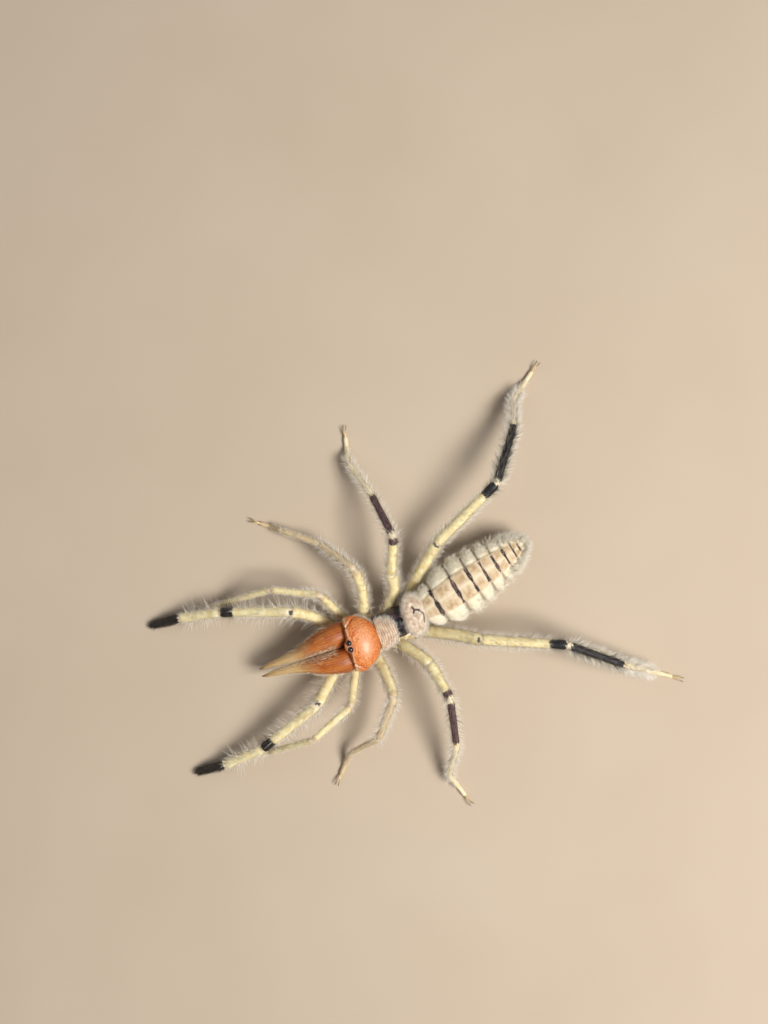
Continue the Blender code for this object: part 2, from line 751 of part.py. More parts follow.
def limb_locks(path, widths, count, rows, colour, draw):
    """Rows of locks along one length of a limb, lying towards its far end."""
    locks = []
    lengths = [(b - a).length for a, b in zip(path, path[1:])]
    room = sum(lengths) - SHOULDER - LOCK_LENGTH
    for row, angle in enumerate(rows):
        for k in range(count):
            where = SHOULDER + room * (k + 0.25 + 0.5 * (row % 2)) / count
            stretch = 0
            while where > lengths[stretch] and stretch < len(lengths) - 1:
                where -= lengths[stretch]
                stretch += 1
            way = (path[stretch + 1] - path[stretch]).normalized()
            radius = mix(widths[stretch], widths[stretch + 1], where / lengths[stretch])
            side = way.cross(UP).normalized()
            turn = math.radians(angle + draw.uniform(-10, 10))
            out = side.cross(way) * math.cos(turn) + side * math.sin(turn)
            length = LOCK_LENGTH * draw.uniform(0.85, 1.1)
            foot = path[stretch] + way * where + out * radius * math.cos(math.pi / SIDES)
            locks.append(lock(foot, way, out, length, min(LOCK_WIDTH, radius * 1.5), colour))
    return locks


def limb(key, side):
    """All the lengths of one limb, joint to joint, with their locks."""
    shape = LIMBS[key]
    draw = random.Random(f"{LOCK_SEED} {key} {side}")
    joints = limb_joints(shape, side)
    ways = [(b - a).normalized() for a, b in zip(joints, joints[1:])]
    normals = [ways[0]] + [(a + b).normalized() for a, b in zip(ways, ways[1:])] + [ways[-1]]
    for k, part in enumerate(shape["parts"]):
        name = f"{key}_{side}_{part}"
        radii = shape["radii"][k : k + 2]
        colour = shape["colours"][k]
        if k < len(shape["parts"]) - 1:
            bow = shape[side]["bow"] * (-1 if side == "left" else 1) if k == 0 else 0
            made = limb_piece(name, joints[k], joints[k + 1], radii, normals[k : k + 2], bow, colour)
        elif shape["radii"][-1] == SOLE_RADIUS:
            made = walking_foot(name, joints[k], joints[k + 1], radii, normals[k], colour)
        else:
            made = feeler_tip(name, joints[k], joints[k + 1], radii, normals[k], colour)
        piece, path, widths = made
        combine(piece, limb_locks(path, widths, shape["locks"][k], shape["lock_rows"], colour, draw))


def abdomen_half_width(where):
    """The plain outline of the abdomen: an egg with its widest place near the front."""
    if where < WIDEST_AT:
        return ABDOMEN_HALF_WIDTH * (1 - ((WIDEST_AT - where) / 5.6) ** 1.8) ** 0.75
    share = (where - WIDEST_AT) / (ABDOMEN_LENGTH + 0.15 - WIDEST_AT)
    return ABDOMEN_HALF_WIDTH * (1 - share**1.9) ** 0.6


def abdomen_axis(line, where):
    """The axis of the abdomen, which is highest over the rear legs, sinks towards the tail and bends."""
    height = 3.5 + 0.5 * max(0, 1 - where / 4) ** 1.5 - 0.55 * (where / ABDOMEN_LENGTH) ** 2
    return line.at(where, -ABDOMEN_BEND * (where / ABDOMEN_LENGTH) ** 2, height)


def abdomen_ring(line, where, swell):
    """A cross ring of the abdomen, drawn in at the sides where swell is below 1, and flatter below."""
    half = abdomen_half_width(where)
    high = half * ABDOMEN_HALF_HEIGHT / ABDOMEN_HALF_WIDTH
    ring = []
    for k in range(ABDOMEN_SIDES):
        angle = 2 * math.pi * (k + 0.5) / ABDOMEN_SIDES
        c, s = math.cos(angle), math.sin(angle)
        pad = 1 - PAD_BULGE * (1 - swell) * (0.45 + 0.55 * c * c)
        flat = 1.0 if s > 0 else 0.9
        ring.append(abdomen_axis(line, where) + line.left * half * pad * c + UP * high * pad * flat * s)
    return ring


def fringe(line, start, end, draw):
    """The locks that stand out from both sides of one length of the abdomen, lying towards the tail."""
    locks = []
    for where in FRINGE_ROOTS:
        if not start < where < end:
            continue
        half = abdomen_half_width(where)
        high = half * ABDOMEN_HALF_HEIGHT / ABDOMEN_HALF_WIDTH
        narrowing = abdomen_half_width(where + 0.1) - abdomen_half_width(where - 0.1)
        for side in (-1, 1):
            for angle in FRINGE_ANGLES:
                turn = math.radians(angle + draw.uniform(-6, 6))
                c, s = math.cos(turn), math.sin(turn)
                foot = abdomen_axis(line, where) + line.left * side * half * c + UP * high * s
                out = (line.left * side * c / half + UP * s / high).normalized()
                lie = (line.along + line.left * side * narrowing / 0.2 * c).normalized()
                length = LOCK_LENGTH * draw.uniform(0.85, 1.1)
                locks.append(lock(foot, lie, out, length, LOCK_WIDTH, "cream"))
    return locks


def abdomen_piece(line, number, first, last, draw):
    """One length of the abdomen: each of its segments swells between two grooves."""
    is_tail = last == len(SEGMENT_ENDS) - 1
    stations = []
    for k in range(first, last):
        start, end = SEGMENT_ENDS[k], SEGMENT_ENDS[k + 1]
        start += HALF_GAP if k == first else 0
        end -= HALF_GAP if k == last - 1 and not is_tail else 0
        steps = 4 if end - start > 1.2 else 2
        stations += [(mix(start, end, step / steps), step / steps) for step in range(steps)]
    last_ring = mix(SEGMENT_ENDS[-2], SEGMENT_ENDS[-1], 0.88) if is_tail else SEGMENT_ENDS[last] - HALF_GAP
    stations.append((last_ring, 1.0))
    rings = [abdomen_ring(line, where, math.sin(math.pi * share) ** 0.6) for where, share in stations]
    tail_tip = abdomen_axis(line, ABDOMEN_LENGTH) if is_tail else None
    name = "abdomen_tail" if is_tail else f"abdomen_segment_{number}"
    piece = solid(name, rings, "cream", (None, tail_tip))
    return combine(piece, fringe(line, SEGMENT_ENDS[first], SEGMENT_ENDS[last], draw))


def back_plates():
    """The two plates between the head shield and the abdomen."""
    neck = forward_line(HEAD_FRONT, NECK_YAW).from_point(-SHIELD_LENGTH - GAP - NECK_PLATE_LENGTH)
    size = (NECK_PLATE_LENGTH, NECK_PLATE_HALF_WIDTH, NECK_PLATE_FLOOR, NECK_PLATE_TOP)
    back_plate("neck_plate", neck, *size, NECK_PLATE_TAIL, ridges=4)
    rear = rearward_line(REAR_PLATE_MIDDLE, REAR_PLATE_YAW).from_point(REAR_PLATE_START)
    size = (REAR_PLATE_LENGTH, REAR_PLATE_HALF_WIDTH, REAR_PLATE_FLOOR, REAR_PLATE_TOP)
    back_plate("rear_plate", rear, *size, REAR_PLATE_TAIL, ridges=1)


def build():
    clear_scene()
    head = forward_line(HEAD_FRONT, HEAD_YAW)
    jaws = forward_line(HEAD_FRONT, JAW_YAW).from_point(JAW_START)
    rear = rearward_line(ABDOMEN_FRONT, ABDOMEN_YAW)
    head_shield(head)
    for side in (-1, 1):
        ball(side_name("eye", side), eye_centre(head, side), EYE_RADIUS, 10, 6, "eye")
        jaw(jaws, side)
        finger(jaws, side)
    back_plates()
    trunk(head, rear)
    for key in LIMBS:
        for side in ("left", "right"):
            limb(key, side)
    draw = random.Random(LOCK_SEED)
    for number, (first, last) in enumerate(SEGMENT_NODES, 1):
        abdomen_piece(rear, number, first, last, draw)


build()
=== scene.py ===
import bpy
import numpy as np
from mathutils import Matrix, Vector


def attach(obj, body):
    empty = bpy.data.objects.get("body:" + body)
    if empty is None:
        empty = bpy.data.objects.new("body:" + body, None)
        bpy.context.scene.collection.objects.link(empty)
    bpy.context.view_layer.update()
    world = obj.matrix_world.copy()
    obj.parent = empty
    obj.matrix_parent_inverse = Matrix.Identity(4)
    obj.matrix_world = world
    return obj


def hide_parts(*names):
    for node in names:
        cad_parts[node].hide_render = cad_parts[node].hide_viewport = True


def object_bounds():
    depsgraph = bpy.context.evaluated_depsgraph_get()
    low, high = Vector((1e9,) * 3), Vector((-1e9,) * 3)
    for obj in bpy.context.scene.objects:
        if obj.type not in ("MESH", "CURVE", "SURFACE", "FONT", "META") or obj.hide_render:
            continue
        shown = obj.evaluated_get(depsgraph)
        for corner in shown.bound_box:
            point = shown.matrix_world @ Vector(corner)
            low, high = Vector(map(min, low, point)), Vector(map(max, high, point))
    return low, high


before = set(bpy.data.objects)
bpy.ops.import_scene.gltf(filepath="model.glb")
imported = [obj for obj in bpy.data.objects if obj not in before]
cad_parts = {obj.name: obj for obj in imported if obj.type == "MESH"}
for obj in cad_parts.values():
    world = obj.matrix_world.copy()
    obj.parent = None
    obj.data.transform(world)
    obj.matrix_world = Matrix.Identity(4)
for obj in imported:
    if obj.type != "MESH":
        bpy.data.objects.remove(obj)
cad_low, cad_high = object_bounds()


# Trunk
# The soft middle of the body: glossy blackish skin above, between the plates, and the pale hips
# below, two for each pair of limbs, set close and pointing outwards. It is fused to one skin.
MM = 0.001
TINY = 1e-9  # keeps a vector without length from being divided by nothing
UP = np.array([0.0, 0.0, 1.0])
SIDES = {"left": 1, "right": -1}
PLAN_MIDDLE = np.array([0.964, -1.47, 0.0])  # the standing animal's middle, in the body's own plan
HEAD_FRONT, HEAD_YAW = (0.86, -6.22), 10.0
ABDOMEN_FRONT, ABDOMEN_YAW = (0.95, 1.45), 6.5
TRUNK_FLOOR = 1.8
TRUNK_STATIONS = (0.0, 0.36, 0.45, 0.62, 0.8, 1.0)
TRUNK_HALF_WIDTHS = (1.45, 1.65, 1.5, 1.5, 1.45, 1.2)
TRUNK_TOPS = (4.1, 4.15, 4.45, 4.6, 4.6, 4.35)
# A limb's lengths, the radii at their ends, its root in the trunk (along, apart, height, radius) and the
# height of its tip. Each side has the hip's place, the joints' heights, the lengths' turns in degrees and
# the sideways bow of the first length.
LIMBS = {
    "palp": dict(
        lengths=(5.75, 7.2, 4.4, 3.4), radii=(0.52, 0.52, 0.46, 0.44, 0.3),
        root=(-0.6, 0.6, 1.95, 0.7), tip=0.34,
        left=((1.91, -7.74, 1.45), (4.5, 3.1, 1.5), (36, 14, 0, -8), 0.0),
        right=((-1.05, -7.22, 1.45), (4.9, 3.1, 1.5), (-50, -24, -16, -10), 0.35),
    ),
    "leg_1": dict(
        lengths=(4.8, 5.0, 5.8, 2.3), radii=(0.4, 0.36, 0.31, 0.27, 0.22),
        root=(-1.6, 0.6, 2.3, 0.52), tip=0.7,
        left=((2.72, -6.5, 2.0), (4.2, 5.0, 1.6), (58, 15, -5, -10), 0.0),
        right=((-1.41, -5.8, 2.0), (5.3, 4.4, 1.5), (-74, -31, -8, -9), 0.0),
    ),
    "leg_2": dict(
        lengths=(5.0, 4.65, 4.1, 4.0), radii=(0.54, 0.44, 0.34, 0.28, 0.22),
        root=(-2.6, 0.7, 2.4, 0.65), tip=0.25,
        left=((3.18, -4.56, 2.5), (5.4, 3.9, 1.4), (89, 45, 7, 41), 0.2),
        right=((-1.3, -3.85, 2.5), (4.8, 2.7, 1.7), (-104, -61, -44, -43), 0.35),
    ),
    "leg_3": dict(
        lengths=(3.75, 3.9, 5.3, 4.4, 4.15), radii=(0.55, 0.52, 0.42, 0.34, 0.28, 0.22),
        root=(-4.0, 0.7, 2.4, 0.7), tip=0.25,
        left=((3.15, -1.78, 2.7), (4.5, 6.0, 3.9, 1.2), (122, 95, 73, 54, 102), 0.1),
        right=((-0.9, -1.3, 2.7), (4.7, 6.2, 3.6, 1.6), (-120, -119, -88, -79, -109), 0.4),
    ),
    "leg_4": dict(
        lengths=(6.85, 8.2, 6.25, 3.65, 4.9), radii=(0.62, 0.52, 0.44, 0.36, 0.3, 0.22),
        root=(-5.0, 0.7, 2.15, 0.72), tip=0.25,
        left=((2.75, 0.5, 1.8), (5.3, 6.9, 4.4, 2.2), (148, 152, 134, 137, 139), 0.1),
        right=((-0.65, 0.6, 1.75), (4.5, 6.1, 3.5, 1.4), (-143, -160, -134, -120, -149), -0.1),
    ),
}
LIMB_SIDES = [(limb, side) for limb in LIMBS for side in SIDES]


def unit(ways):
    """Each vector divided by its length."""
    return ways / np.linalg.norm(ways, axis=-1, keepdims=True)


def smooth(values, low, high):
    """0 below low, 1 above high, and the cubic 3t^2 - 2t^3 of the share t between them."""
    share = np.clip((values - low) / (high - low), 0, 1)
    return share * share * (3 - 2 * share)


def hump(off, width):
    """A bell, exp(-(off / width)^2): 1 in the middle and next to nothing from twice the width on."""
    return np.exp(-((off / width) ** 2))


def circle(count):
    """Angles in even steps once round."""
    return np.linspace(0, 2 * np.pi, count, endpoint=False)


def arc(start, corner, stop, t):
    """The curve a(1-t)^2 + 2bt(1-t) + ct^2 from a start to a stop, drawn towards the corner."""
    return start * (1 - t) ** 2 + 2 * corner * t * (1 - t) + stop * t * t


def read(stations, values, where):
    """A smooth curve through values at stations: cubic between two of them, with slopes taken across."""
    stations, values = np.asarray(stations, float), np.asarray(values, float)
    slopes = np.gradient(values, stations)
    k = np.clip(np.searchsorted(stations, where) - 1, 0, len(stations) - 2)
    step = stations[k + 1] - stations[k]
    t = np.clip((where - stations[k]) / step, 0, 1)
    start = (1 + 2 * t) * (1 - t) ** 2 * values[k] + t * (1 - t) ** 2 * step * slopes[k]
    return start + t * t * (3 - 2 * t) * values[k + 1] + t * t * (t - 1) * step * slopes[k + 1]


class BodyLine:
    """A straight stretch of the body. at() turns distances along it, left of it and up into points."""

    def __init__(self, origin, yaw, way=-1):
        turn = np.radians(yaw)
        self.origin = np.array([*origin, 0.0]) - PLAN_MIDDLE
        self.along = np.array([-np.sin(turn), way * np.cos(turn), 0.0])
        self.left = np.array([np.cos(turn), way * np.sin(turn), 0.0])

    def at(self, along, left, height):
        along, left, height = (np.asarray(a)[..., None] for a in np.broadcast_arrays(along, left, height))
        return self.origin + along * self.along + left * self.left + height * UP


def make_mesh(name, points, faces, scale=MM):
    """A mesh from points and lists of faces, turned round where its faces enclose less than nothing.
    Returns the order in which the faces name the points, too."""
    fans = np.concatenate([face[:, [0, k, k + 1]] for face in faces for k in range(1, face.shape[1] - 1)])
    a, b, c = (points[fans[:, k]] for k in range(3))
    if np.einsum("ij,ij->", a, np.cross(b, c)) < 0:
        faces = [face[:, ::-1] for face in faces]
    corners = np.concatenate([face.ravel() for face in faces])
    sizes = np.concatenate([np.full(len(face), face.shape[1]) for face in faces])
    mesh = bpy.data.meshes.new(name)
    mesh.vertices.add(len(points))
    mesh.vertices.foreach_set("co", (points * scale).astype(np.float32).ravel())
    mesh.loops.add(len(corners))
    mesh.loops.foreach_set("vertex_index", corners.astype(np.int32))
    mesh.polygons.add(len(sizes))
    mesh.polygons.foreach_set("loop_start", (np.cumsum(sizes) - sizes).astype(np.int32))
    mesh.update(calc_edges=True)
    mesh.shade_smooth()
    return mesh, corners


def set_mark(mesh, name, values):
    """One number for each vertex, under a name that the material reads."""
    mesh.attributes.new(name, "FLOAT", "POINT").data.foreach_set("value", values.astype(np.float32))


def vectors(rows, name):
    """The vectors that a mesh keeps for its vertices, as rows of an array."""
    values = np.empty(len(rows) * 3, np.float32)
    rows.foreach_get(name, values)
    return values.reshape(-1, 3)


def whole(grid):
    """A grid's values in one list, and after them the means of its two end rows, where the fans meet."""
    return np.concatenate([grid.reshape(-1, *grid.shape[2:]), grid[[0, -1]].mean(axis=1)])


class Skin:
    """A closed surface on a grid of points: rows run along it and columns round it.
    marks are grids of numbers that its material and its hairs read by name."""

    def __init__(self, points, **marks):
        self.points = points
        self.rows, self.columns = points.shape[:2]
        self.marks = {name: np.broadcast_to(mark, points.shape[:2]) for name, mark in marks.items()}

    def faces(self):
        """A four-sided face for each cell, and a fan round the middle of each open end."""
        index = np.arange(self.rows * self.columns).reshape(self.rows, self.columns)
        after = np.roll(index, -1, axis=1)
        cells = np.stack([index[:-1], index[1:], after[1:], after[:-1]], axis=-1).reshape(-1, 4)
        first, last = (np.full(self.columns, index.size + k) for k in (0, 1))
        fans = [np.stack(fan, axis=-1) for fan in ((index[0], after[0], first), (after[-1], index[-1], last))]
        return [cells, np.concatenate(fans)]

    def read(self, grid, row, column):
        """A grid's value between its points, even in both directions and closed round the columns."""
        r, c = np.minimum(row.astype(int), self.rows - 2), column.astype(int) % self.columns
        down, right = row - r, column - column.astype(int)
        if grid.ndim == 3:
            down, right = down[:, None], right[:, None]
        after = (c + 1) % self.columns
        above, below = (grid[k, c] * (1 - right) + grid[k, after] * right for k in (r, r + 1))
        return above * (1 - down) + below * down

    def along(self):
        return unit(np.gradient(self.points, axis=0) + TINY)

    def outward(self):
        """The direction square to the surface, turned away from the middle of its row."""
        across = unit(np.roll(self.points, -1, axis=1) - np.roll(self.points, 1, axis=1) + TINY)
        normal = unit(np.cross(self.along(), across) + TINY)
        away = self.points - self.points.mean(axis=1, keepdims=True)
        return normal * np.sign(np.einsum("ijk,ijk->", normal, away))

    def scatter(self, density, draw):
        """Places drawn at random, as many to a square millimetre as the grid of densities says."""
        across = np.roll(self.points, -1, axis=1) - self.points
        area = np.linalg.norm(np.cross(across[:-1], self.points[1:] - self.points[:-1]), axis=-1)
        wanted = (area * np.broadcast_to(density, self.points.shape[:2])[:-1]).ravel()
        cells = draw.choice(wanted.size, int(wanted.sum()), p=wanted / wanted.sum())
        row, column = np.divmod(cells, self.columns)
        return row + draw.random(len(row)), column + draw.random(len(row))


def gather(skins):
    """Several surfaces as one list of points, with their four-sided and their three-sided faces."""
    points, faces, count = [], [], 0
    for skin in skins:
        points.append(whole(skin.points))
        faces.append([kind + count for kind in skin.faces()])
        count += len(points[-1])
    return np.concatenate(points), [np.concatenate(kind) for kind in zip(*faces)]


def show(name, mesh, finish):
    """Puts a mesh in the scene as a piece that rides on the body."""
    mesh.materials.clear()
    mesh.materials.append(finish.material)
    made = bpy.data.objects.new(name, mesh)
    bpy.context.scene.collection.objects.link(made)
    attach(made, "root")
    return made


def merge(name, skins, finish):
    """Surfaces as one piece with all their marks, each closed in itself."""
    mesh, _ = make_mesh(name, *gather(skins))
    for mark in dict.fromkeys(mark for skin in skins for mark in skin.marks):
        grids = [skin.marks.get(mark, np.zeros(skin.points.shape[:2])) for skin in skins]
        set_mark(mesh, mark, np.concatenate([whole(grid) for grid in grids]))
    return show(name, mesh, finish)


def fuse(name, skins, finish, cell, rounds):
    """Closed surfaces melted into one skin: a remesh of small cells over all of them, then smoothed."""
    mesh, _ = make_mesh(name, *gather(skins), scale=1)
    made = bpy.data.objects.new(name, mesh)
    bpy.context.scene.collection.objects.link(made)
    melt = made.modifiers.new("melt", "REMESH")
    melt.mode = "VOXEL"
    melt.voxel_size = cell
    ease = made.modifiers.new("ease", "SMOOTH")
    ease.factor = 0.5
    ease.iterations = rounds
    fused = bpy.data.meshes.new_from_object(made.evaluated_get(bpy.context.evaluated_depsgraph_get()))
    bpy.data.objects.remove(made)
    fused.vertices.foreach_set("co", vectors(fused.vertices, "co").ravel() * MM)
    fused.update()
    fused.shade_smooth()
    return show(name, fused, finish)


def tube(path, wide, high, sides, reference=UP):
    """Rings along a path: each point's ring is an ellipse of half-widths wide and high,
    square to the path, with its flat side turned to the reference."""
    way = unit(np.gradient(path, axis=0))
    side = unit(np.cross(way, reference))
    up = np.cross(side, way)
    angle = circle(sides)
    wide, high = (np.broadcast_to(w, len(path))[:, None, None] for w in (wide, high))
    flat = np.cos(angle)[None, :, None] * side[:, None] * wide
    return path[:, None] + flat + np.sin(angle)[None, :, None] * up[:, None] * high


def flat_way(turn):
    """The level direction at a turn in degrees from -Y, positive to the animal's left."""
    return np.array([np.sin(np.radians(turn)), -np.cos(np.radians(turn)), 0.0])


def limb_joints(limb, side):
    """The joints of a limb: each length goes out in its direction and ends at its height."""
    hip, heights, turns, _ = LIMBS[limb][side]
    joints = [np.array(hip) - PLAN_MIDDLE]
    for length, height, turn in zip(LIMBS[limb]["lengths"], (*heights, LIMBS[limb]["tip"]), turns):
        rise = height - joints[-1][2]
        joints.append(joints[-1] + flat_way(turn) * np.sqrt(length**2 - rise**2) + UP * rise)
    return joints


class Wire:
    """One socket of a material's nodes. Sums and products with it add Math nodes."""

    def __init__(self, finish, socket):
        self.finish = finish
        self.socket = socket

    def maths(self, operation, *values):
        return self.finish.node("Math", {"operation": operation}, dict(enumerate(values)))

    def __add__(self, other):
        return self.maths("ADD", self, other)

    def __sub__(self, other):
        return self.maths("SUBTRACT", self, other)

    def __rsub__(self, other):
        return self.maths("SUBTRACT", other, self)

    def __mul__(self, other):
        return self.maths("MULTIPLY", self, other)

    __radd__ = __add__
    __rmul__ = __mul__

    def sine(self):
        return self.maths("SINE", self)

    def between(self, low, high):
        """0 below low, 1 above high, and a soft edge between them."""
        settings = {"interpolation_type": "SMOOTHSTEP"}
        return self.finish.node("MapRange", settings, {"Value": self, "From Min": low, "From Max": high})


def paint(colour):
    """A colour's screen values from 0 to 255, as the linear light that a shader takes."""
    screen = np.array(colour) / 255
    linear = np.where(screen <= 0.04045, screen / 12.92, ((screen + 0.055) / 1.055) ** 2.4)
    return (*(float(value) for value in linear), 1.0)


class Finish:
    """One material: its shader, with the values that are the same all over, and the nodes that feed it.
    A plain colour is given by its screen values, red, green and blue."""

    def __init__(self, name, **constants):
        self.material = bpy.data.materials.new(name)
        self.material.use_nodes = True
        self.tree = self.material.node_tree
        self.shader = self.tree.nodes["Principled BSDF"]
        for socket, value in constants.items():
            self.shader.inputs[socket.replace("_", " ")].default_value = value

    def node(self, kind, settings, inputs, output=0):
        """A node of a kind, with its settings set first, and then its sockets."""
        made = self.tree.nodes.new("ShaderNode" + kind)
        for name, value in settings.items():
            setattr(made, name, value)
        for name, value in inputs.items():
            if isinstance(value, Wire):
                self.tree.links.new(value.socket, made.inputs[name])
            else:
                made.inputs[name].default_value = value
        return Wire(self, made.outputs[output])

    def vector(self, operation, inputs, output=0):
        return self.node("VectorMath", {"operation": operation}, inputs, output)

    def position(self):
        """The place on the piece, in millimetres."""
        return self.vector("SCALE", {0: self.node("TexCoord", {}, {}, "Object"), "Scale": 1 / MM})

    def distance(self, along, start=(0.0, 0.0, 0.0)):
        """How far the place lies along a direction, measured from a point, in millimetres."""
        offset = self.vector("SUBTRACT", {0: self.position(), 1: tuple(start)})
        return self.vector("DOT_PRODUCT", {0: offset, 1: tuple(along)}, "Value")

    def mark(self, name):
        return self.node("Attribute", {"attribute_name": name}, {}, "Fac")

    def noise(self, size, detail=3.0, stretch=(1.0, 1.0, 1.0)):
        """A cloudy pattern with patches of about the size given, drawn out where stretch is above 1."""
        place = self.vector("MULTIPLY", {0: self.position(), 1: tuple(1 / value for value in stretch)})
        return self.node("TexNoise", {}, {"Vector": place, "Scale": 1 / size, "Detail": detail}, "Fac")

    def blend(self, mask, below, above):
        """The colour below where the mask is 0 and the one above where it is 1."""
        below, above = (paint(colour) if isinstance(colour, tuple) else colour for colour in (below, above))
        return self.node("Mix", {"data_type": "RGBA"}, {0: mask, 6: below, 7: above}, 2)

    def layers(self, colour, **coats):
        """Colours laid over the first one in turn, each named by what it shows, with its mask before it."""
        for mask, above in coats.values():
            colour = self.blend(mask, colour, above)
        return colour

    def bump(self, height, depth):
        """Relief of the depth given in millimetres, from a height of 0 to 1."""
        return self.node("Bump", {}, {"Height": height, "Distance": depth * MM, "Strength": 1.0}, "Normal")

    def feed(self, **links):
        for socket, wire in links.items():
            self.tree.links.new(wire.socket, self.shader.inputs[socket.replace("_", " ")])
        return self


def hip_skin(limb, side):
    """One hip: a stout tapered barrel from the middle of the trunk to the limb's first joint."""
    joints = limb_joints(limb, side)
    along, apart, height, radius = LIMBS[limb]["root"]
    t = np.linspace(0, 1, 16)
    knee = joints[0] - unit(joints[1] - joints[0]) * 0.7
    path = arc(head.at(along, SIDES[side] * apart, height), knee, joints[0], t[:, None])
    widths = read((0, 0.35, 0.75, 1), (radius * 0.8, radius, LIMBS[limb]["radii"][0] * 1.15, 0.3), t)
    return Skin(tube(path, widths, widths, 20))


def trunk_core():
    """The trunk itself: full ovals from under the head shield to the front of the abdomen."""
    start, end = head.at(-0.25, 0, 0), rear.at(-0.2, 0, 0)
    t = np.linspace(0, 1, 40)
    top = read(TRUNK_STATIONS, TRUNK_TOPS, t)
    path = start + (end - start) * t[:, None] + UP * ((top + TRUNK_FLOOR) / 2)[:, None]
    fold = 1 + 0.03 * np.sin(t * 30) * smooth(t, 0.35, 0.5)
    wide = read(TRUNK_STATIONS, TRUNK_HALF_WIDTHS, t) * fold
    return Skin(tube(path, wide, (top - TRUNK_FLOOR) / 2 * fold, 32))


def mouth_cone():
    """The small beak between the first hips, under the jaws."""
    t = np.linspace(0, 1, 12)
    path = head.at(-0.3 + 1.9 * t, 0, 2.05 - 0.1 * t)
    return Skin(tube(path, 0.62 * (1 - t) ** 0.5 + 0.02, 0.4 * (1 - t) ** 0.5 + 0.02, 16))


def trunk_finish():
    """Near-black wet skin above, with a plum tone between the plates, and straw-coloured hips below."""
    made = Finish("trunk_skin", Coat_Weight=0.4, Coat_Roughness=0.2)
    wrinkle = made.noise(0.25, 4)
    above = (made.distance(UP) + wrinkle * 0.8).between(3.35, 3.75)
    dark = made.blend(made.noise(0.9).between(0.4, 0.62), (22, 22, 30), (70, 46, 50))
    pale = made.blend(made.noise(0.5).between(0.35, 0.65), (188, 162, 118), (224, 208, 162))
    base = made.blend(above, pale, dark)
    return made.feed(Base_Color=base, Roughness=0.5 - above * 0.22, Normal=made.bump(wrinkle, 0.09))


head = BodyLine(HEAD_FRONT, HEAD_YAW)
rear = BodyLine(ABDOMEN_FRONT, ABDOMEN_YAW, way=1)
hips = [hip_skin(limb, side) for limb, side in LIMB_SIDES]
trunk = fuse("trunk_skin", [trunk_core(), mouth_cone(), *hips], trunk_finish(), cell=0.07, rounds=6)
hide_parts("trunk")


# Head shield
# One hard plate domed over the head, finely grained and glossy like lacquered shell, with a thin pale
# lip along its straight front edge, a folded lobe at each front corner and a mound for the eyes.
SHIELD_LENGTH = 2.95
SHIELD_HALF_WIDTH = 2.66
SHIELD_FLOOR = 4.38
SHIELD_RIM = 4.98  # where the upright rim ends and the dome starts
SHIELD_TOP = 6.72
LOBE_BACK, LOBE_LENGTH, LOBE_HEIGHT = -1.35, 1.55, 5.1
LIP_FACING = 0.45  # the share of its normal that points ahead where the lip is brightest
GROOVE_DEPTH, RIDGE_HEIGHT = 0.08, 0.07
EYE_RADIUS = 0.25
EYE_SPACING = 0.62
EYE_HEIGHT = 6.52
EYE_FORWARD = 0.02
MOUND_HEIGHT = EYE_HEIGHT - 0.3


def shield_dome():
    """The dome: a plan outline drawn in by the cosine of a quarter round while the height rises by its sine.
    The front edge is drawn in later than the back, which makes the front face steep."""
    share, turn = (np.linspace(0, 1, count, endpoint=False) for count in (40, 80))
    turn = np.pi * turn
    outline = [
        np.concatenate([SHIELD_HALF_WIDTH * (0.98 - 1.96 * share), -SHIELD_HALF_WIDTH * 1.02 * np.cos(turn)]),
        np.concatenate([0.12 + 0.26 * np.sin(np.pi * share) ** 0.6, -SHIELD_LENGTH * np.sin(turn) ** 0.8]),
        np.concatenate([np.ones_like(share), np.zeros_like(turn)]),
    ]
    for _ in range(4):
        outline = [(np.roll(line, 1) + line + np.roll(line, -1)) / 3 for line in outline]
    left, along, is_front = outline
    rise = np.linspace(0, np.pi / 2 * 0.985, 34)[:, None]
    shrink = np.cos(rise)
    centre = -0.22 * SHIELD_LENGTH
    dome = head.at(
        centre + (along - centre) * shrink ** (1 - 0.5 * is_front),
        left * shrink**0.92,
        SHIELD_RIM + (SHIELD_TOP - SHIELD_RIM) * np.sin(rise) ** 0.9,
    )
    foot = [
        head.at(centre + (along - centre) * size, left * size, SHIELD_FLOOR + height)
        for size, height in ((0.9, 0.08), (0.97, 0), (1.0, 0.14))
    ]
    return Skin(np.concatenate([np.stack(foot), dome]))


def shield_lobe(side):
    """The folded lobe at a front corner: a short fat spindle that lies along the jaw's base."""
    t = np.linspace(0, 1, 18)
    left = side * (SHIELD_HALF_WIDTH - 0.27 + 0.04 * np.sin(np.pi * t))
    path = head.at(LOBE_BACK + LOBE_LENGTH * t, left, LOBE_HEIGHT - 0.05 * t)
    size = np.sin(np.pi * (0.04 + 0.9 * t)) ** 0.6
    return Skin(tube(path, 0.36 * size, 0.66 * size, 20))


def globe(along, left, height, radii, rings, columns, gap):
    """An ellipsoid of rings from pole to pole, with radii along, to the left and up, open by a small
    angle at its poles."""
    turn, spin = np.linspace(gap, np.pi - gap, rings)[:, None], circle(columns)
    flat = np.sin(turn)
    return Skin(
        head.at(
            along + radii[0] * flat * np.cos(spin), left + radii[1] * flat * np.sin(spin),
            height - radii[2] * np.cos(turn),
        )
    )


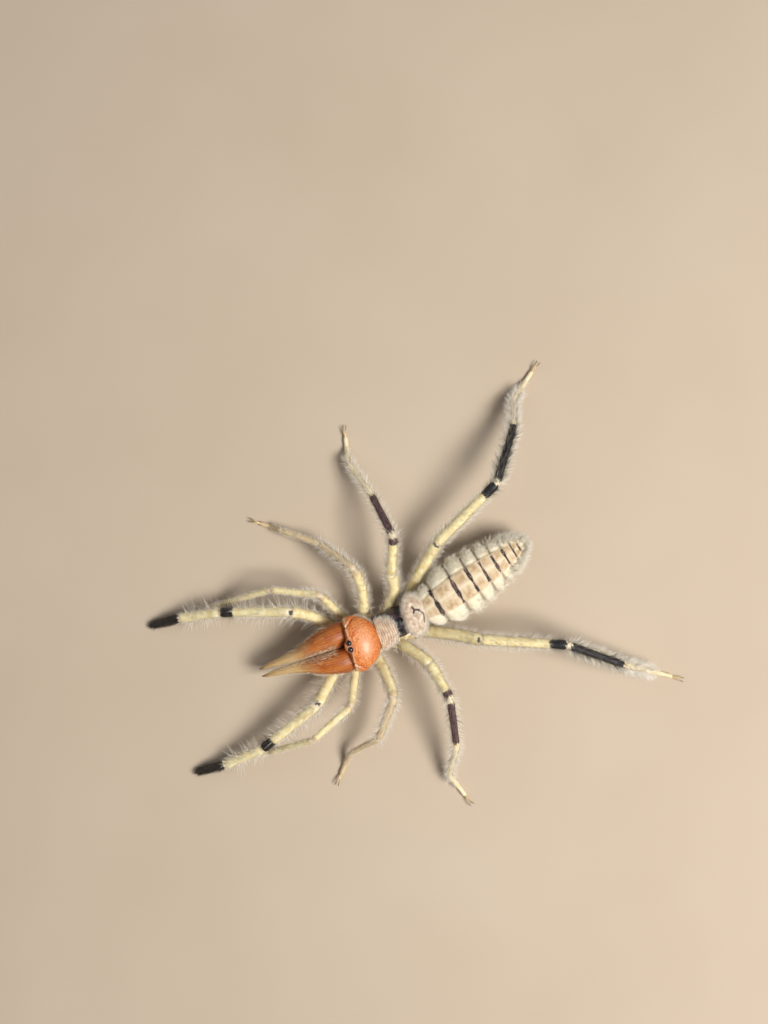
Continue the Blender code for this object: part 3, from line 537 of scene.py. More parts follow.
def shield_finish():
    """Burnt orange with fine light and dark grain, a paler painted sheen on top, painted shade on the
    front face and in the corner grooves, a pale lip, and a dusky pink ring round each eye."""
    made = Finish("shield_shell", Coat_Weight=0.4, Coat_Roughness=0.24)
    ahead, height = made.distance(head.along, head.at(0, 0, 0)), made.distance(UP)
    grain = made.noise(0.15, 5)
    # painted sheen: a paler patch where the dome is highest stands in for a broad soft highlight
    bloom = height.between(SHIELD_TOP - 0.9, SHIELD_TOP) * ahead.between(-0.5, -1.4)
    base = made.layers(
        made.blend(made.noise(0.8).between(0.3, 0.7), (208, 104, 38), (228, 132, 62)),
        light_grain=(grain.between(0.52, 0.64) * 0.7, (244, 182, 116)),
        dark_grain=(grain.between(0.46, 0.34) * 0.6, (146, 56, 14)),
        rear_half=(ahead.between(-1.2, -3.0) * 0.2, (176, 76, 20)),
        bloom=(bloom * 0.45, (244, 184, 138)),
        # painted shade: the steep front face and the corner grooves are darkened
        front_face=(made.mark("face") * 0.55, (140, 58, 20)),
        lip=(made.mark("lip") * 0.9, (254, 212, 166)),
    )
    for side in (-1, 1):
        centre = tuple(head.at(EYE_FORWARD, side * EYE_SPACING / 2, EYE_HEIGHT))
        away = made.vector("DISTANCE", {0: made.position(), 1: centre}, "Value")
        base = made.layers(
            base,
            pink_ring=(away.between(0.5, 0.36) * 0.45, (206, 150, 126)),
            dark_edge=(away.between(0.34, 0.27) * 0.95, (58, 26, 22)),
        )
    return made.feed(Base_Color=base, Roughness=0.3 + grain * 0.25, Normal=made.bump(grain, 0.09))


def fold_corners(mesh):
    """Marks painted shade on the front face and in the groove, and the pale lip. A groove runs from the front
    edge to the side and cuts a lobe off each corner. Outside it two crumpled ridges are raised, each a bell
    across and a sine along."""
    place, normal = vectors(mesh.vertices, "co") / MM, vectors(mesh.vertex_normals, "vector")
    facing = normal @ head.along
    ahead, across = (place - head.origin) @ head.along, np.abs((place - head.origin) @ head.left)
    mound = head.at(EYE_FORWARD, 0, MOUND_HEIGHT)
    beside = smooth(np.linalg.norm(place - mound, axis=1), 0.6, 0.85)
    lip = hump(facing - LIP_FACING, 0.17) * smooth(ahead, -0.3, -0.1) * (0.3 + 0.7 * beside)
    face = smooth(facing, 0.7, 0.9) * smooth(ahead, -0.25, -0.05) * beside
    fold = across - 1.8 - 0.8 * smooth(-ahead, 0.0, 1.2) ** 0.7 + 0.05 * np.sin(ahead * 9)
    is_lobe = smooth(ahead, -1.3, -0.8) * smooth(normal[:, 2], 0.0, 0.3)
    groove = hump(fold, 0.1) * is_lobe
    bump = 0.55 + 0.45 * np.sin(ahead * 11 + across * 5)
    ridge = (hump(fold - 0.22, 0.12) * bump + 0.5 * hump(fold - 0.55, 0.12) * (1 - bump)) * is_lobe
    place = place + normal * (RIDGE_HEIGHT * ridge - GROOVE_DEPTH * groove)[:, None]
    mesh.vertices.foreach_set("co", (place * MM).astype(np.float32).ravel())
    set_mark(mesh, "lip", np.maximum(lip, ridge * 0.35))
    # the face mark carries painted shade for the steep front face and the grooves
    set_mark(mesh, "face", np.maximum(face, groove * 0.7))


eye_mound = globe(EYE_FORWARD - 0.05, 0, MOUND_HEIGHT, (0.58, 0.68, 0.42), rings=20, columns=28, gap=0.05)
shield_parts = [shield_dome(), eye_mound, shield_lobe(-1), shield_lobe(1)]
shield = fuse("head_shield_shell", shield_parts, shield_finish(), cell=0.045, rounds=5)
fold_corners(shield.data)
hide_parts("head_shield")


# Eyes
# Two small black beads with a clear glossy lens, let into the mound so that a third of each shows.
eye_gloss = Finish("eye_lens", Roughness=0.04, Coat_Weight=1.0, Coat_Roughness=0.03)
eye_gloss.feed(Base_Color=eye_gloss.blend(eye_gloss.noise(0.12), (6, 5, 6), (20, 12, 10)))
for side_name, side in SIDES.items():
    place = (EYE_FORWARD, side * EYE_SPACING / 2, EYE_HEIGHT)
    bead = globe(*place, [EYE_RADIUS] * 3, rings=24, columns=36, gap=0.04)
    eye = merge(f"eye_bead_{side_name}", [bead], eye_gloss)
    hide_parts(f"eye_{side_name}")


# Jaws
# Each jaw is a hard bulb, full of muscle, that runs out into a thin fixed finger with teeth below it.
# A second finger is hung from the front of the bulb and closes up against the first.
JAW_YAW = 7.2
JAW_START = 0.48
JAW_LENGTH = 8.7
JAW_BACK, ROUND_END = -1.0, -0.3  # the rounded end under the shield
JAW_RIBS, RIB_HEIGHT = 7, 0.022
JAW_STATIONS = (JAW_BACK, 0.0, 1.0, 2.2, 3.4, 4.2, 5.4, 6.4, 7.4, 8.3, JAW_LENGTH + 0.2)
JAW_OUTER = (2.1, 2.46, 2.46, 2.2, 1.78, 1.43, 1.0, 0.8, 0.68, 0.56, 0.46)
JAW_TOP = (5.3, 5.8, 5.98, 5.82, 5.42, 5.06, 4.5, 4.15, 3.78, 3.3, 2.75)
JAW_UNDER = (3.1, 2.68, 2.62, 2.55, 2.42, 2.5, 3.6, 3.45, 3.2, 2.9, 2.65)
JAW_INNER = ((0.0, 4.5, JAW_LENGTH), (0.02, 0.04, 0.26))  # the inner side's distance from the middle
FINGER_STATIONS = (-0.4, 0.0, 0.5, 1.2, 2.2, 3.2, 4.1)
FINGER_HALF_WIDTH = (0.4, 0.5, 0.5, 0.42, 0.32, 0.24, 0.06)
FINGER_TOP = (3.1, 3.15, 3.0, 2.66, 2.33, 2.2, 2.45)
FINGER_UNDER = (2.4, 2.27, 2.12, 1.97, 1.84, 1.84, 2.35)
FINGER_START = 4.5
UPPER_TEETH = ((5.25, 0.7), (5.6, 1.0), (6.05, 0.8), (6.45, 1.1), (6.95, 0.8), (7.35, 0.55))  # place, size
LOWER_TEETH = ((1.0, 0.7), (1.45, 1.0), (1.95, 0.7), (2.35, 0.5))
TOOTH_HEIGHT = 0.36
TOOTH_ROOT = 0.15
FULLNESS = 2.25
HAIR_BEND = 0.25
HAIR_CEILING = cad_high[2] / MM
HAIR_FLOOR = 0.03
HAIR_SUNK = 0.03


def oval_skin(along, middle, top, under, half_width, half_height, columns, side):
    """Rings square to the jaws' line, each an ellipse swollen to |x|^n + |y|^n = 1 with n the fullness."""
    c, s = np.cos(circle(columns)), np.sin(circle(columns))
    reach = (np.abs(c) ** FULLNESS + np.abs(s) ** FULLNESS) ** (-1 / FULLNESS)
    left = (side * middle)[:, None] + half_width[:, None] * reach * c
    points = jaws.at(along[:, None], left, ((top + under) / 2)[:, None] + half_height[:, None] * reach * s)
    return Skin(points, along=along[:, None], across=side * c, top=s)


def jaw_skin(side):
    """Bulb and fixed finger in one, rounded off where it goes in under the shield, with low ribs on top."""
    where = np.concatenate([np.linspace(JAW_BACK, ROUND_END, 16), np.linspace(-0.22, JAW_LENGTH + 0.18, 118)])
    outer, top, under = (read(JAW_STATIONS, line, where) for line in (JAW_OUTER, JAW_TOP, JAW_UNDER))
    inner = np.interp(where, *JAW_INNER)
    back = np.clip(ROUND_END - where, 0, None) / (ROUND_END - JAW_BACK + 0.01)
    end = np.sqrt(np.clip(1 - back**2, 0, 1))
    tip = np.clip((JAW_LENGTH + 0.2 - where) / 0.5, 0, 1) ** 0.5
    half, high = (outer - inner) / 2 * end * tip, (top - under) / 2 * end * tip
    skin = oval_skin(where, (outer + inner) / 2, top, under, half, high, 56, side)
    above = smooth(skin.marks["top"], 0.0, 0.5)
    ribs = RIB_HEIGHT * np.cos(JAW_RIBS * circle(skin.columns)) * above * smooth(where, 0.5, 2.0)[:, None]
    skin.points = skin.points + skin.outward() * ribs[..., None] * tip[:, None, None]
    return skin


def finger_middle(where):
    """How far the moving finger's middle lies from the middle of the pair."""
    return 0.68 - 0.3 * where / 4


def finger_skin(side):
    """The moving finger: a slim curved spindle that bends up to its point."""
    where = np.linspace(-0.25, 4.1, 70)
    lines = (FINGER_HALF_WIDTH, FINGER_TOP, FINGER_UNDER)
    half, top, under = (read(FINGER_STATIONS, line, where) for line in lines)
    half, high = np.maximum(half, 0.03), np.maximum((top - under) / 2, 0.03)
    return oval_skin(FINGER_START + where, finger_middle(where), top, under, half, high, 28, side)


def tooth_skin(along, left, height, way, size):
    """A sharp cone that leans a little towards the tip of its finger. It has the colour of a place ahead."""
    t = np.linspace(0, 1, 9)
    rise = -TOOTH_ROOT + (TOOTH_HEIGHT * size + TOOTH_ROOT) * t
    path = jaws.at(along, left, height) + way * rise[:, None] + jaws.along * (0.12 * t * t)[:, None]
    thick = 0.13 * size**0.5 * np.sqrt(1 - t * 0.985)
    return Skin(tube(path, thick, thick * 1.2, 12, reference=jaws.along), along=along + 1.5)


def jaw_finish():
    """Amber shell with darker brown stripes and thin yellow ribs along it, and painted shade at the base
    under the shield. The fingers pale to straw with brown lines, and their tips and the teeth darken to
    chestnut."""
    made = Finish("jaw_shell", Coat_Weight=0.1, Coat_Roughness=0.3)
    along, across = made.mark("along"), made.mark("across")
    waver, grain = made.noise(0.9, 2), made.noise(0.1, 4)
    lines = (across * 7.5 + waver * 2.0).sine() * 0.5 + 0.5
    fine = (across * 30.0 + waver * 7.0).sine() * 0.5 + 0.5
    inner = across.between(-0.45, -0.9) * along.between(0.3, 1.2) * made.noise(0.4).between(0.35, 0.6)
    straw = made.blend(fine.between(0.3, 0.9), (238, 216, 160), (184, 132, 70))
    base = made.layers(
        made.blend(waver.between(0.35, 0.65), (168, 80, 20), (188, 102, 34)),
        brown_stripes=(lines.between(0.4, 1.0) * 0.3, (132, 58, 14)),
        yellow_ribs=(lines.between(0.35, 0.0) * 0.2, (226, 156, 78)),
        threads=(fine.between(0.6, 1.0) * 0.14, (238, 186, 112)),
        # painted shade: the bulb darkens towards its base, where it goes in under the shield
        dark_base=(along.between(2.2, 0.2) * 0.4, (136, 60, 14)),
        inner_side=(inner * 0.5, (232, 190, 152)),
        finger=((along + waver * 1.6).between(3.6, 6.6) * 0.85, straw),
        tip=(along.between(8.2, 8.9) * 0.6, (130, 70, 32)),
    )
    relief = made.bump(grain * 0.4 + fine * 0.6, 0.02)
    return made.feed(Base_Color=base, Roughness=0.42 + grain * 0.2, Normal=relief)


def grow(name, slot, finish, skin, roots, way, draw, spread, width, rings=2, stretch=1, **spans):
    """Thin tapering hairs as one mesh. A hair leaves its root between its way, which spread makes uneven,
    and straight out, by its lift in degrees. At share t of its length L its middle is
    root + L (t start - t^2 bend out / 2), and its three-sided ring shrinks with (1 - t)^0.7 to a point.
    It keeps clear of the floor and below the highest point of the solids. Lengths and lifts are drawn in
    the order of their spans. Each hair's patch on the OFBake map lies at its root's place."""
    row, column = roots
    count = len(row)
    lie = way + draw.normal(0, spread, (count, 3))
    drawn = {key: draw.uniform(*span, count) for key, span in spans.items()}
    out = unit(skin.read(skin.outward(), row, column))
    foot = skin.read(skin.points, row, column) - out * HAIR_SUNK
    lie = unit(lie - out * np.sum(lie * out, axis=1, keepdims=True))
    lift = np.radians(drawn["lift"])[:, None]
    start = lie * np.cos(lift) + out * np.sin(lift)
    across = unit(np.cross(start, out + lie * 0.01))
    flat = np.cross(across, start)
    t = np.linspace(0, 1, rings + 1)
    length = (drawn["length"] * stretch)[:, None, None]
    fall = out[:, None] * HAIR_BEND / 2 * (t * t)[:, None]
    line = foot[:, None] + length * (start[:, None] * t[:, None] - fall)
    line[..., 2] = np.clip(line[..., 2], HAIR_FLOOR, HAIR_CEILING)
    spin = np.radians([90, 210, 330])
    ring = across[:, None] * np.cos(spin)[:, None] + flat[:, None] * np.sin(spin)[:, None] * 0.7
    taper = (1 - t[:-1]) ** 0.7 * 0.5
    body = line[:, :-1, None] + ring[:, None] * taper[:, None, None] * width
    points = np.concatenate([body.reshape(count, -1, 3), line[:, -1:]], axis=1)
    each = 3 * rings + 1
    corner = np.arange(each - 4)
    after = corner // 3 * 3 + (corner + 1) % 3
    walls = np.stack([corner, after, after + 3, corner + 3], axis=1)
    ends = [[0, 2, 1]] + [[each - 4 + k, each - 4 + (k + 1) % 3, each - 1] for k in range(3)]
    first = (np.arange(count) * each)[:, None, None]
    faces = [(first + np.array(kind)).reshape(-1, sides) for kind, sides in ((walls, 4), (ends, 3))]
    mesh, corners = make_mesh(name, points.reshape(-1, 3), faces)
    for mark, grid in skin.marks.items():
        set_mark(mesh, mark, np.repeat(skin.read(grid, row, column), each))
    set_mark(mesh, "tone", np.repeat(draw.random(count), each))
    share = np.append(np.repeat(t[:-1], 3), 1.0)
    set_mark(mesh, "tip", np.tile(share, count))
    patch = np.stack([np.append(np.tile([0.0, 0.5, 1.0], rings), 0.5), share], axis=-1) * 0.003
    place = np.stack([column / skin.columns, row / skin.rows], axis=-1) * 0.99 + 0.002
    unwrap = (place[:, None] + patch).reshape(-1, 2)
    mesh.uv_layers.new(name="OFBake").data.foreach_set("uv", unwrap[corners].astype(np.float32).ravel())
    show(name, mesh, finish)


def hair_finish(name, root, tip):
    """Fine hair: one colour at its root and a paler one at its tip, with each hair a little different."""
    made = Finish(name, Roughness=0.45, Specular_IOR_Level=0.4)
    colour = made.blend(made.mark("tip"), root, tip)
    return made.feed(Base_Color=made.blend(made.mark("tone") * 0.3, colour, (214, 196, 166)))


jaws = BodyLine(HEAD_FRONT, JAW_YAW)
jaws.origin = jaws.at(JAW_START, 0, 0)
jaw_gloss = jaw_finish()
jaw_hair = hair_finish("jaw_hair", (232, 205, 150), (250, 244, 230))
for side_name, side in SIDES.items():
    skin = jaw_skin(side)
    halves = {"jaw": [skin], "jaw_finger": [finger_skin(side)]}
    for along, size in UPPER_TEETH:
        left = side * (read(JAW_STATIONS, JAW_OUTER, along) + np.interp(along, *JAW_INNER)) / 2
        halves["jaw"].append(tooth_skin(along, left, read(JAW_STATIONS, JAW_UNDER, along), -UP, size))
    for along, size in LOWER_TEETH:
        left, height = side * finger_middle(along), read(FINGER_STATIONS, FINGER_TOP, along)
        halves["jaw_finger"].append(tooth_skin(FINGER_START + along, left, height, UP, size))
    for node, skins in halves.items():
        shell = merge(f"{node}_shell_{side_name}", skins, jaw_gloss)
        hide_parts(f"{node}_{side_name}")
    draw = np.random.default_rng(10 + side)
    along, across, top = (skin.marks[mark] for mark in ("along", "across", "top"))
    groove = hump(across + 0.75, 0.3) * smooth(top, 0.0, 0.5)
    flank = smooth(across, 0.7, 0.95) * smooth(top, -0.9, -0.2)
    under = smooth(-top, 0.2, 0.8) * smooth(along, 3.5, 5)
    haired = smooth(along, 0.4, 1.2) * (1 - smooth(along, 7, 8.2))
    roots = skin.scatter((groove * 52 + flank * 12 + under * 20 + 2.5) * haired, draw)
    grow(
        f"jaw_hair_{side_name}", "jaw_amber", jaw_hair, skin, roots, skin.read(skin.along(), *roots), draw,
        spread=0.16, width=0.035, stretch=1 + 0.7 * skin.read(flank + under, *roots),
        length=(0.25, 0.6), lift=(18, 42),
    )


# Hair of the hips and the shield's rim
# Long white hairs stand on the hips and show from above between the shield, the plates and the limbs.
# A dense short fringe grows under the shield's rear edge.
hip_hair = hair_finish("hip_hair", (232, 218, 186), (252, 250, 244))
for number, (skin, (limb, side_name)) in enumerate(zip(hips, LIMB_SIDES)):
    draw = np.random.default_rng(80 + number)
    share = np.arange(skin.rows)[:, None] / (skin.rows - 1)
    roots = skin.scatter(60 * smooth(share, 0.3, 0.5), draw)
    grow(
        f"hip_hair_{limb}_{side_name}", "trunk_dark", hip_hair, skin, roots, skin.read(skin.along(), *roots),
        draw, spread=0.2, width=0.038, lift=(35, 70), length=(0.4, 0.95),
    )
skin, draw = shield_parts[0], np.random.default_rng(79)
behind = smooth((skin.points - head.origin) @ -head.along, 0.5, 1.2)
rows = np.arange(skin.rows)[:, None]
roots = skin.scatter(90 * behind * (rows > 0) * (rows < 5), draw)
way = skin.read(skin.outward(), *roots) - head.along * 0.3
grow(
    "shield_rim_hair", "shield_orange", hip_hair, skin, roots, way, draw,
    spread=0.25, width=0.036, lift=(20, 60), length=(0.3, 0.6),
)


# Back plates
# Two hard plates cross the back behind the head: the neck plate with its even ridges, and the rear
# plate, a smooth oval with a small dark fork in its middle. Both are cream shell with short white hair.
RIDGES, NECK_RIDGE_HEIGHT = 8, 0.034
FORK_WIDTH, FORK_DEPTH = 0.12, 0.13
FORK = (((-0.5, 0.1), (-0.36, 0.5)), ((-0.78, -0.05), (-0.5, 0.1)), ((-0.5, 0.1), (-0.2, -0.08)))
FORK_TAIL = (((-0.36, 0.5), (0.1, 0.85)), ((0.1, 0.85), (0.9, 0.75)))
PLATES = {
    "neck_plate": dict(
        line=BodyLine(HEAD_FRONT, 6.0), is_ridged=True, start=-4.8, length=1.95, half_width=1.6,
        floor=4.52, top=5.55, light=(218, 194, 164), shade=(188, 156, 130),
    ),
    "rear_plate": dict(
        line=BodyLine((0.879, 0.645), -9.8, way=1), is_ridged=False, start=-1.2, length=2.3, half_width=2.1,
        floor=4.62, top=5.75, light=(226, 210, 186), shade=(190, 160, 136),
    ),
}


def stroke(across, along, lines, width):
    """1 within a width of the given straight lines and 0 beyond, with soft edges."""
    near = np.full(np.broadcast(across, along).shape, np.inf)
    for (x0, y0), (x1, y1) in lines:
        run = np.array([x1 - x0, y1 - y0])
        share = np.clip(((across - x0) * run[0] + (along - y0) * run[1]) / (run @ run), 0, 1)
        near = np.minimum(near, np.hypot(across - x0 - share * run[0], along - y0 - share * run[1]))
    return 1 - smooth(near, width * 0.5, width)


def plate_skin(line, is_ridged, start, length, half_width, floor, top, **_):
    """A cushion whose outline and height follow (1 - u^2.5)^(1/2.5), with u from -1 at one end to 1 at
    the other. The neck plate has only the first half of that curve, as it runs in under the shield."""
    share = 0.5 - 0.5 * np.cos(np.linspace(0.07, np.pi - 0.07, 90))[:, None]
    u = share - 1 if is_ridged else 2 * share - 1
    size = (1 - np.abs(u) ** 2.5) ** (1 / 2.5)
    turn, back = np.linspace(0, np.pi, 91), np.linspace(-0.94, 0.94, 24)
    wide, along = half_width * size, start + length * share
    x = wide * np.cos(turn)
    rise = (top - floor) * size**0.6
    if is_ridged:
        phase = share - 0.12 * (x / half_width) ** 2 + 0.015 * np.sin(3.1 * x) + 0.02 * np.sin(7 * share)
        wave = np.cos(2 * np.pi * RIDGES * phase)
        rise = rise + NECK_RIDGE_HEIGHT * wave * size
        fork, furrow = 0 * x, smooth(-wave, 0.0, 1) * (1.2 - share)
    else:
        rise = rise + 0.06 * np.cos(2 * np.pi * share) * size
        fork = stroke(x, along, FORK, FORK_WIDTH) + 0.75 * stroke(x, along, FORK_TAIL, FORK_WIDTH)
        furrow = 0 * x
    over = line.at(along, x, floor + rise * np.sin(turn) ** 0.8)
    if not is_ridged:
        over[..., 2] -= FORK_DEPTH * stroke(x, along, FORK + FORK_TAIL, 0.4)
    rim = smooth(np.hypot(x / half_width, u), 0.75, 1.0)
    below = np.zeros((len(share), len(back)))
    marks = {
        name: np.concatenate([above, below + under], axis=1)
        for name, above, under in (("fork", fork, 0), ("furrow", furrow, 0), ("rim", rim, 1))
    }
    points = np.concatenate([over, line.at(along, wide * back, floor)], axis=1)
    is_top = np.append(np.ones_like(turn), np.zeros_like(back))
    return Skin(points, **marks, side_way=np.append(np.cos(turn), back), top=is_top)


def plate_finish(name, light, shade):
    """Cream shell, cloudy, with painted brown shade in the furrows, and the dark fork."""
    made = Finish(name, Coat_Weight=0.1, Coat_Roughness=0.35)
    cloud = made.noise(0.4, 4)
    base = made.layers(
        made.blend(cloud.between(0.35, 0.65), light, shade),
        rim=(made.mark("rim") * 0.35, (250, 244, 234)),
        # painted shade: brown in the furrows between the neck plate's ridges
        furrow=(made.mark("furrow") * 0.6, (136, 100, 80)),
        fork=(made.mark("fork"), (44, 20, 30)),
    )
    return made.feed(Base_Color=base, Roughness=0.45 + cloud * 0.2, Normal=made.bump(cloud, 0.03))


plate_hair = hair_finish("plate_hair", (226, 214, 196), (252, 250, 246))
for number, (node, plate) in enumerate(PLATES.items()):
    skin = plate_skin(**plate)
    piece = merge(f"{node}_shell", [skin], plate_finish(f"{node}_shell", plate["light"], plate["shade"]))
    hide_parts(node)
    draw = np.random.default_rng(30 + number)
    roots = skin.scatter(skin.marks["top"] * (16 + 60 * skin.marks["rim"]), draw)
    sideways = skin.read(skin.marks["side_way"], *roots)[:, None] * plate["line"].left * 0.8
    grow(
        f"{node}_hair", "plate_cream", plate_hair, skin, roots, rear.along * 0.7 + sideways, draw,
        spread=0.2, width=0.034, length=(0.3, 0.65), lift=(20, 50),
    )


# Abdomen
# A soft bag of nine rings, tapering to the tail. Its back has a firm tan band, crossed by a dark bar at
# each joint. Cream velvet pads bulge from both sides, each ring's pad lapping over the next one.
ABDOMEN_LENGTH = 12.0
ABDOMEN_HALF_WIDTH = 3.1
ABDOMEN_HALF_HEIGHT = 2.35
ABDOMEN_BEND = 0.35  # how far the tail end swings to the animal's right
AXIS_HEIGHT = 3.5
WIDEST_AT = 4.1
FRONT_REACH = 5.6  # from there to where the front of the egg would close
SEGMENT_ENDS = np.array([0.0, 1.65, 3.95, 5.7, 7.15, 8.5, 9.7, 10.65, 11.3, 12.3])
BAR_LENGTHS = np.array([3.5, 3.3, 2.8, 2.3, 2.0, 1.8, 1.55, 0.9])
BAND_SHARE = 0.5  # of the half-width, on the back
PADS_MEET = (11.4, 11.65)  # where the tail's pads close over the band
PAD_JOINT_DEPTH, FURROW_DEPTH, VALLEY_DEPTH = 0.2, 0.035, 0.025
COAT_DEPTH = 0.09


def abdomen_skin():
    """Ellipses along the axis. The half-width is an egg's, the height three quarters of it, and each ring
    is drawn in at its ends, most at the sides. Marks say where the back band, its pale patches, the
    dark bars and the furrows lie. A bar's thickness wavers by two sines across it."""
    where = np.linspace(0.03, ABDOMEN_LENGTH - 0.02, 360)[:, None]
    c, s = np.cos(circle(180)), np.sin(circle(180))
    front = (1 - (np.clip(WIDEST_AT - where, 0, None) / FRONT_REACH) ** 1.8) ** 0.75
    back = (1 - (np.clip(where - WIDEST_AT, 0, None) / (ABDOMEN_LENGTH + 0.15 - WIDEST_AT)) ** 1.9) ** 0.6
    half = ABDOMEN_HALF_WIDTH * np.minimum(front, back)
    high = half * ABDOMEN_HALF_HEIGHT / ABDOMEN_HALF_WIDTH
    middle = AXIS_HEIGHT + 0.5 * np.clip(1 - where / 4, 0, None) ** 1.5 - 0.55 * (where / ABDOMEN_LENGTH) ** 2
    k = np.searchsorted(SEGMENT_ENDS, where, side="right") - 1
    share = (where - SEGMENT_ENDS[k]) / (SEGMENT_ENDS[k + 1] - SEGMENT_ENDS[k])
    pillow = 1 - np.sin(np.pi * share**1.15) ** 0.7
    furrow = 1 - np.sin(np.pi * share) ** 0.3
    across = c * half
    far, band_edge = np.abs(across), half * BAND_SHARE
    is_pad = np.maximum(smooth(far, band_edge - 0.12, band_edge + 0.18), smooth(where, *PADS_MEET))
    depth = np.where(where > SEGMENT_ENDS[-2], 0.4, 1)
    drawn = (pillow * PAD_JOINT_DEPTH * is_pad * np.abs(c) ** 0.6 + furrow * FURROW_DEPTH) * depth
    valley = VALLEY_DEPTH * hump(far - band_edge, 0.14) * (s > 0)
    size = 1 - drawn - valley - COAT_DEPTH / np.maximum(half, 0.6) * (1 - 0.6 * (s > 0.5))
    bend = -ABDOMEN_BEND * (where / ABDOMEN_LENGTH) ** 2
    points = rear.at(where, bend + across * size, middle + high * s * size * np.where(s > 0, 1.0, 0.9))
    top = smooth(s, 0.15, 0.4)
    nearest = np.abs(where[:, :, None] - SEGMENT_ENDS[1:-1] + 0.04)
    reach = BAR_LENGTHS / 2
    sway = across[:, :, None] * 2.4 + np.arange(len(reach)) * 1.9
    thick = 0.05 + 0.09 * reach * (0.85 + 0.4 * np.sin(sway) + 0.25 * np.sin(2.3 * sway + 1))
    bars = 1 - smooth(nearest, thick * 0.7, thick * 1.3)
    bars = bars * (1 - smooth(far[:, :, None], reach - 0.12, reach + 0.05))
    blot = np.exp(-(((far / band_edge - 0.58) / 0.36) ** 4) - ((share - 0.45) / 0.33) ** 4)
    patch = np.clip(0.6 - 0.42 * blot + 0.3 * hump(across, 0.07), 0, 1)
    return Skin(
        points, along=where, side_way=c, bar=bars.max(axis=2) * top, pad=1 - (1 - is_pad) * top,
        patch=patch, furrow=smooth(pillow, 0.4, 0.85), top=top,
    )


def abdomen_finish(name, is_hair):
    """Cream pads, a tan band with paler squares, painted brown shade in the furrows, and near-black bars
    with fine pale threads through them.
    """
    made = Finish(name, Roughness=0.7, Sheen_Weight=0.25, Sheen_Roughness=0.4)
    pad, bar, patch, furrow = (made.mark(mark) for mark in ("pad", "bar", "patch", "furrow"))
    cloud = made.noise(0.45, 3)
    velvet = made.blend(cloud.between(0.35, 0.65), (240, 226, 192), (252, 244, 220))
    tan = made.blend(cloud.between(0.35, 0.65), (180, 144, 100), (204, 172, 130))
    tan = made.blend(patch * 1.3 + cloud * 0.8 - 0.4, tan, (236, 219, 188))
    plum = made.blend(made.noise(0.5).between(0.45, 0.6), (36, 26, 28), (90, 60, 64))
    threads = made.noise(0.06, 2, (5.0, 1.0, 1.0)).between(0.59, 0.66)
    base = made.layers(
        made.blend(pad, tan, velvet),
        # painted shade: brown in the furrows between the pads
        furrows=(furrow * (0.3 + pad * 0.3), (126, 94, 64)),
        bars=(bar * (1 - threads * 0.75), plum),
    )
    if not is_hair:
        return made.feed(Base_Color=base, Normal=made.bump(made.noise(0.06, 3, (1.0, 3.0, 1.0)), 0.05))
    tip = made.mark("tip")
    base = made.layers(
        base,
        roots=(tip.between(0.5, 0.0) * 0.1, (168, 136, 96)),
        tips=((0.2 + tip * 0.6) * (1 - bar * 0.7), (255, 253, 246)),
        tone=(made.mark("tone") * 0.14, (206, 184, 146)),
    )
    return made.feed(Base_Color=base)


skin = abdomen_skin()
abdomen = merge("abdomen_velvet_skin", [skin], abdomen_finish("abdomen_skin", False))
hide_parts(*[f"abdomen_segment_{k}" for k in range(1, 6)], "abdomen_tail")
abdomen_fur = abdomen_finish("abdomen_fur", True)
side_way, top, pad, tail = (skin.marks[mark] for mark in ("side_way", "top", "pad", "along"))
rim = hump(np.abs(side_way) - 1, 0.22)
open_part = 1 - 0.9 * skin.marks["furrow"]
fringe = (13 * rim * (0.3 + smooth(tail, 1.5, 4)) + 105 * smooth(tail, 8.8, 10.8)) * (0.03 + 0.97 * pad)
# Each coat has its hairs to a square millimetre, their lengths, lifts and width. The last is the tail's
# tuft, which hides the bag's blunt end.
COATS = {
    "back": (300 * top * (0.06 + 0.94 * pad) * open_part, (0.2, 0.38), (6, 20), 0.028),
    "flank": (180 * rim * open_part, (0.22, 0.42), (8, 28), 0.03),
    "belly": (70 * (1 - top) * (1 - rim), (0.25, 0.45), (12, 28), 0.032),
    "fringe": (fringe, (0.7, 1.3), (35, 68), 0.042),
    "tail": (320 * smooth(tail, 11.7, 11.85), (0.5, 0.9), (5, 50), 0.04),
}
for number, (part, (density, lengths, lifts, width)) in enumerate(COATS.items()):
    draw = np.random.default_rng(51 + number)
    roots = skin.scatter(density, draw)
    outwards = np.sign(skin.read(side_way, *roots))[:, None] * rear.left * (part != "tail")
    way = skin.read(skin.along(), *roots) * 0.9 + outwards * 0.55
    stretch = 0.75 + 0.25 * smooth(skin.read(tail, *roots), 7, 10) if part == "fringe" else 1
    grow(
        f"abdomen_fur_{part}", "abdomen_velvet", abdomen_fur, skin, roots, way, draw,
        spread=0.14, width=width, stretch=stretch, length=lengths, lift=lifts,
    )


# Palps and legs
# Thin hard tubes, jointed at knees of soft pale skin. The palps and the first legs are held forward as
# feelers. The others stand on their tarsi. All are straw yellow with stripes and bands of their own.
BAND_COLOURS = dict.fromkeys(LIMBS, ((22, 17, 17), (44, 34, 32)))  # of the shell and of the threads in it
BAND_COLOURS["leg_3"] = ((74, 52, 54), (122, 94, 96))
BAND_COLOURS["leg_4"] = ((20, 18, 22), (44, 42, 50))
WALKING_LEGS = ("leg_2", "leg_3", "leg_4")
LENGTH_NAMES = ("trochanter", "femur", "tibia", "metatarsus", "tarsus")  # a limb of four has no trochanter
BEND_TRIM = 0.42  # how far before and after a joint the tube starts and ends its bend
STEP = 0.12  # between two rings of the tube
SOLE_LENGTH, SOLE_RADIUS = 1.3, 0.235
CLAW_LENGTH, CLAW_SPREAD = 1.1, 9
END = 99  # beyond the tip of any limb
EDGE, ALL_ROUND, BACK = 0.12, (-3, -2), (0.1, 0.55)
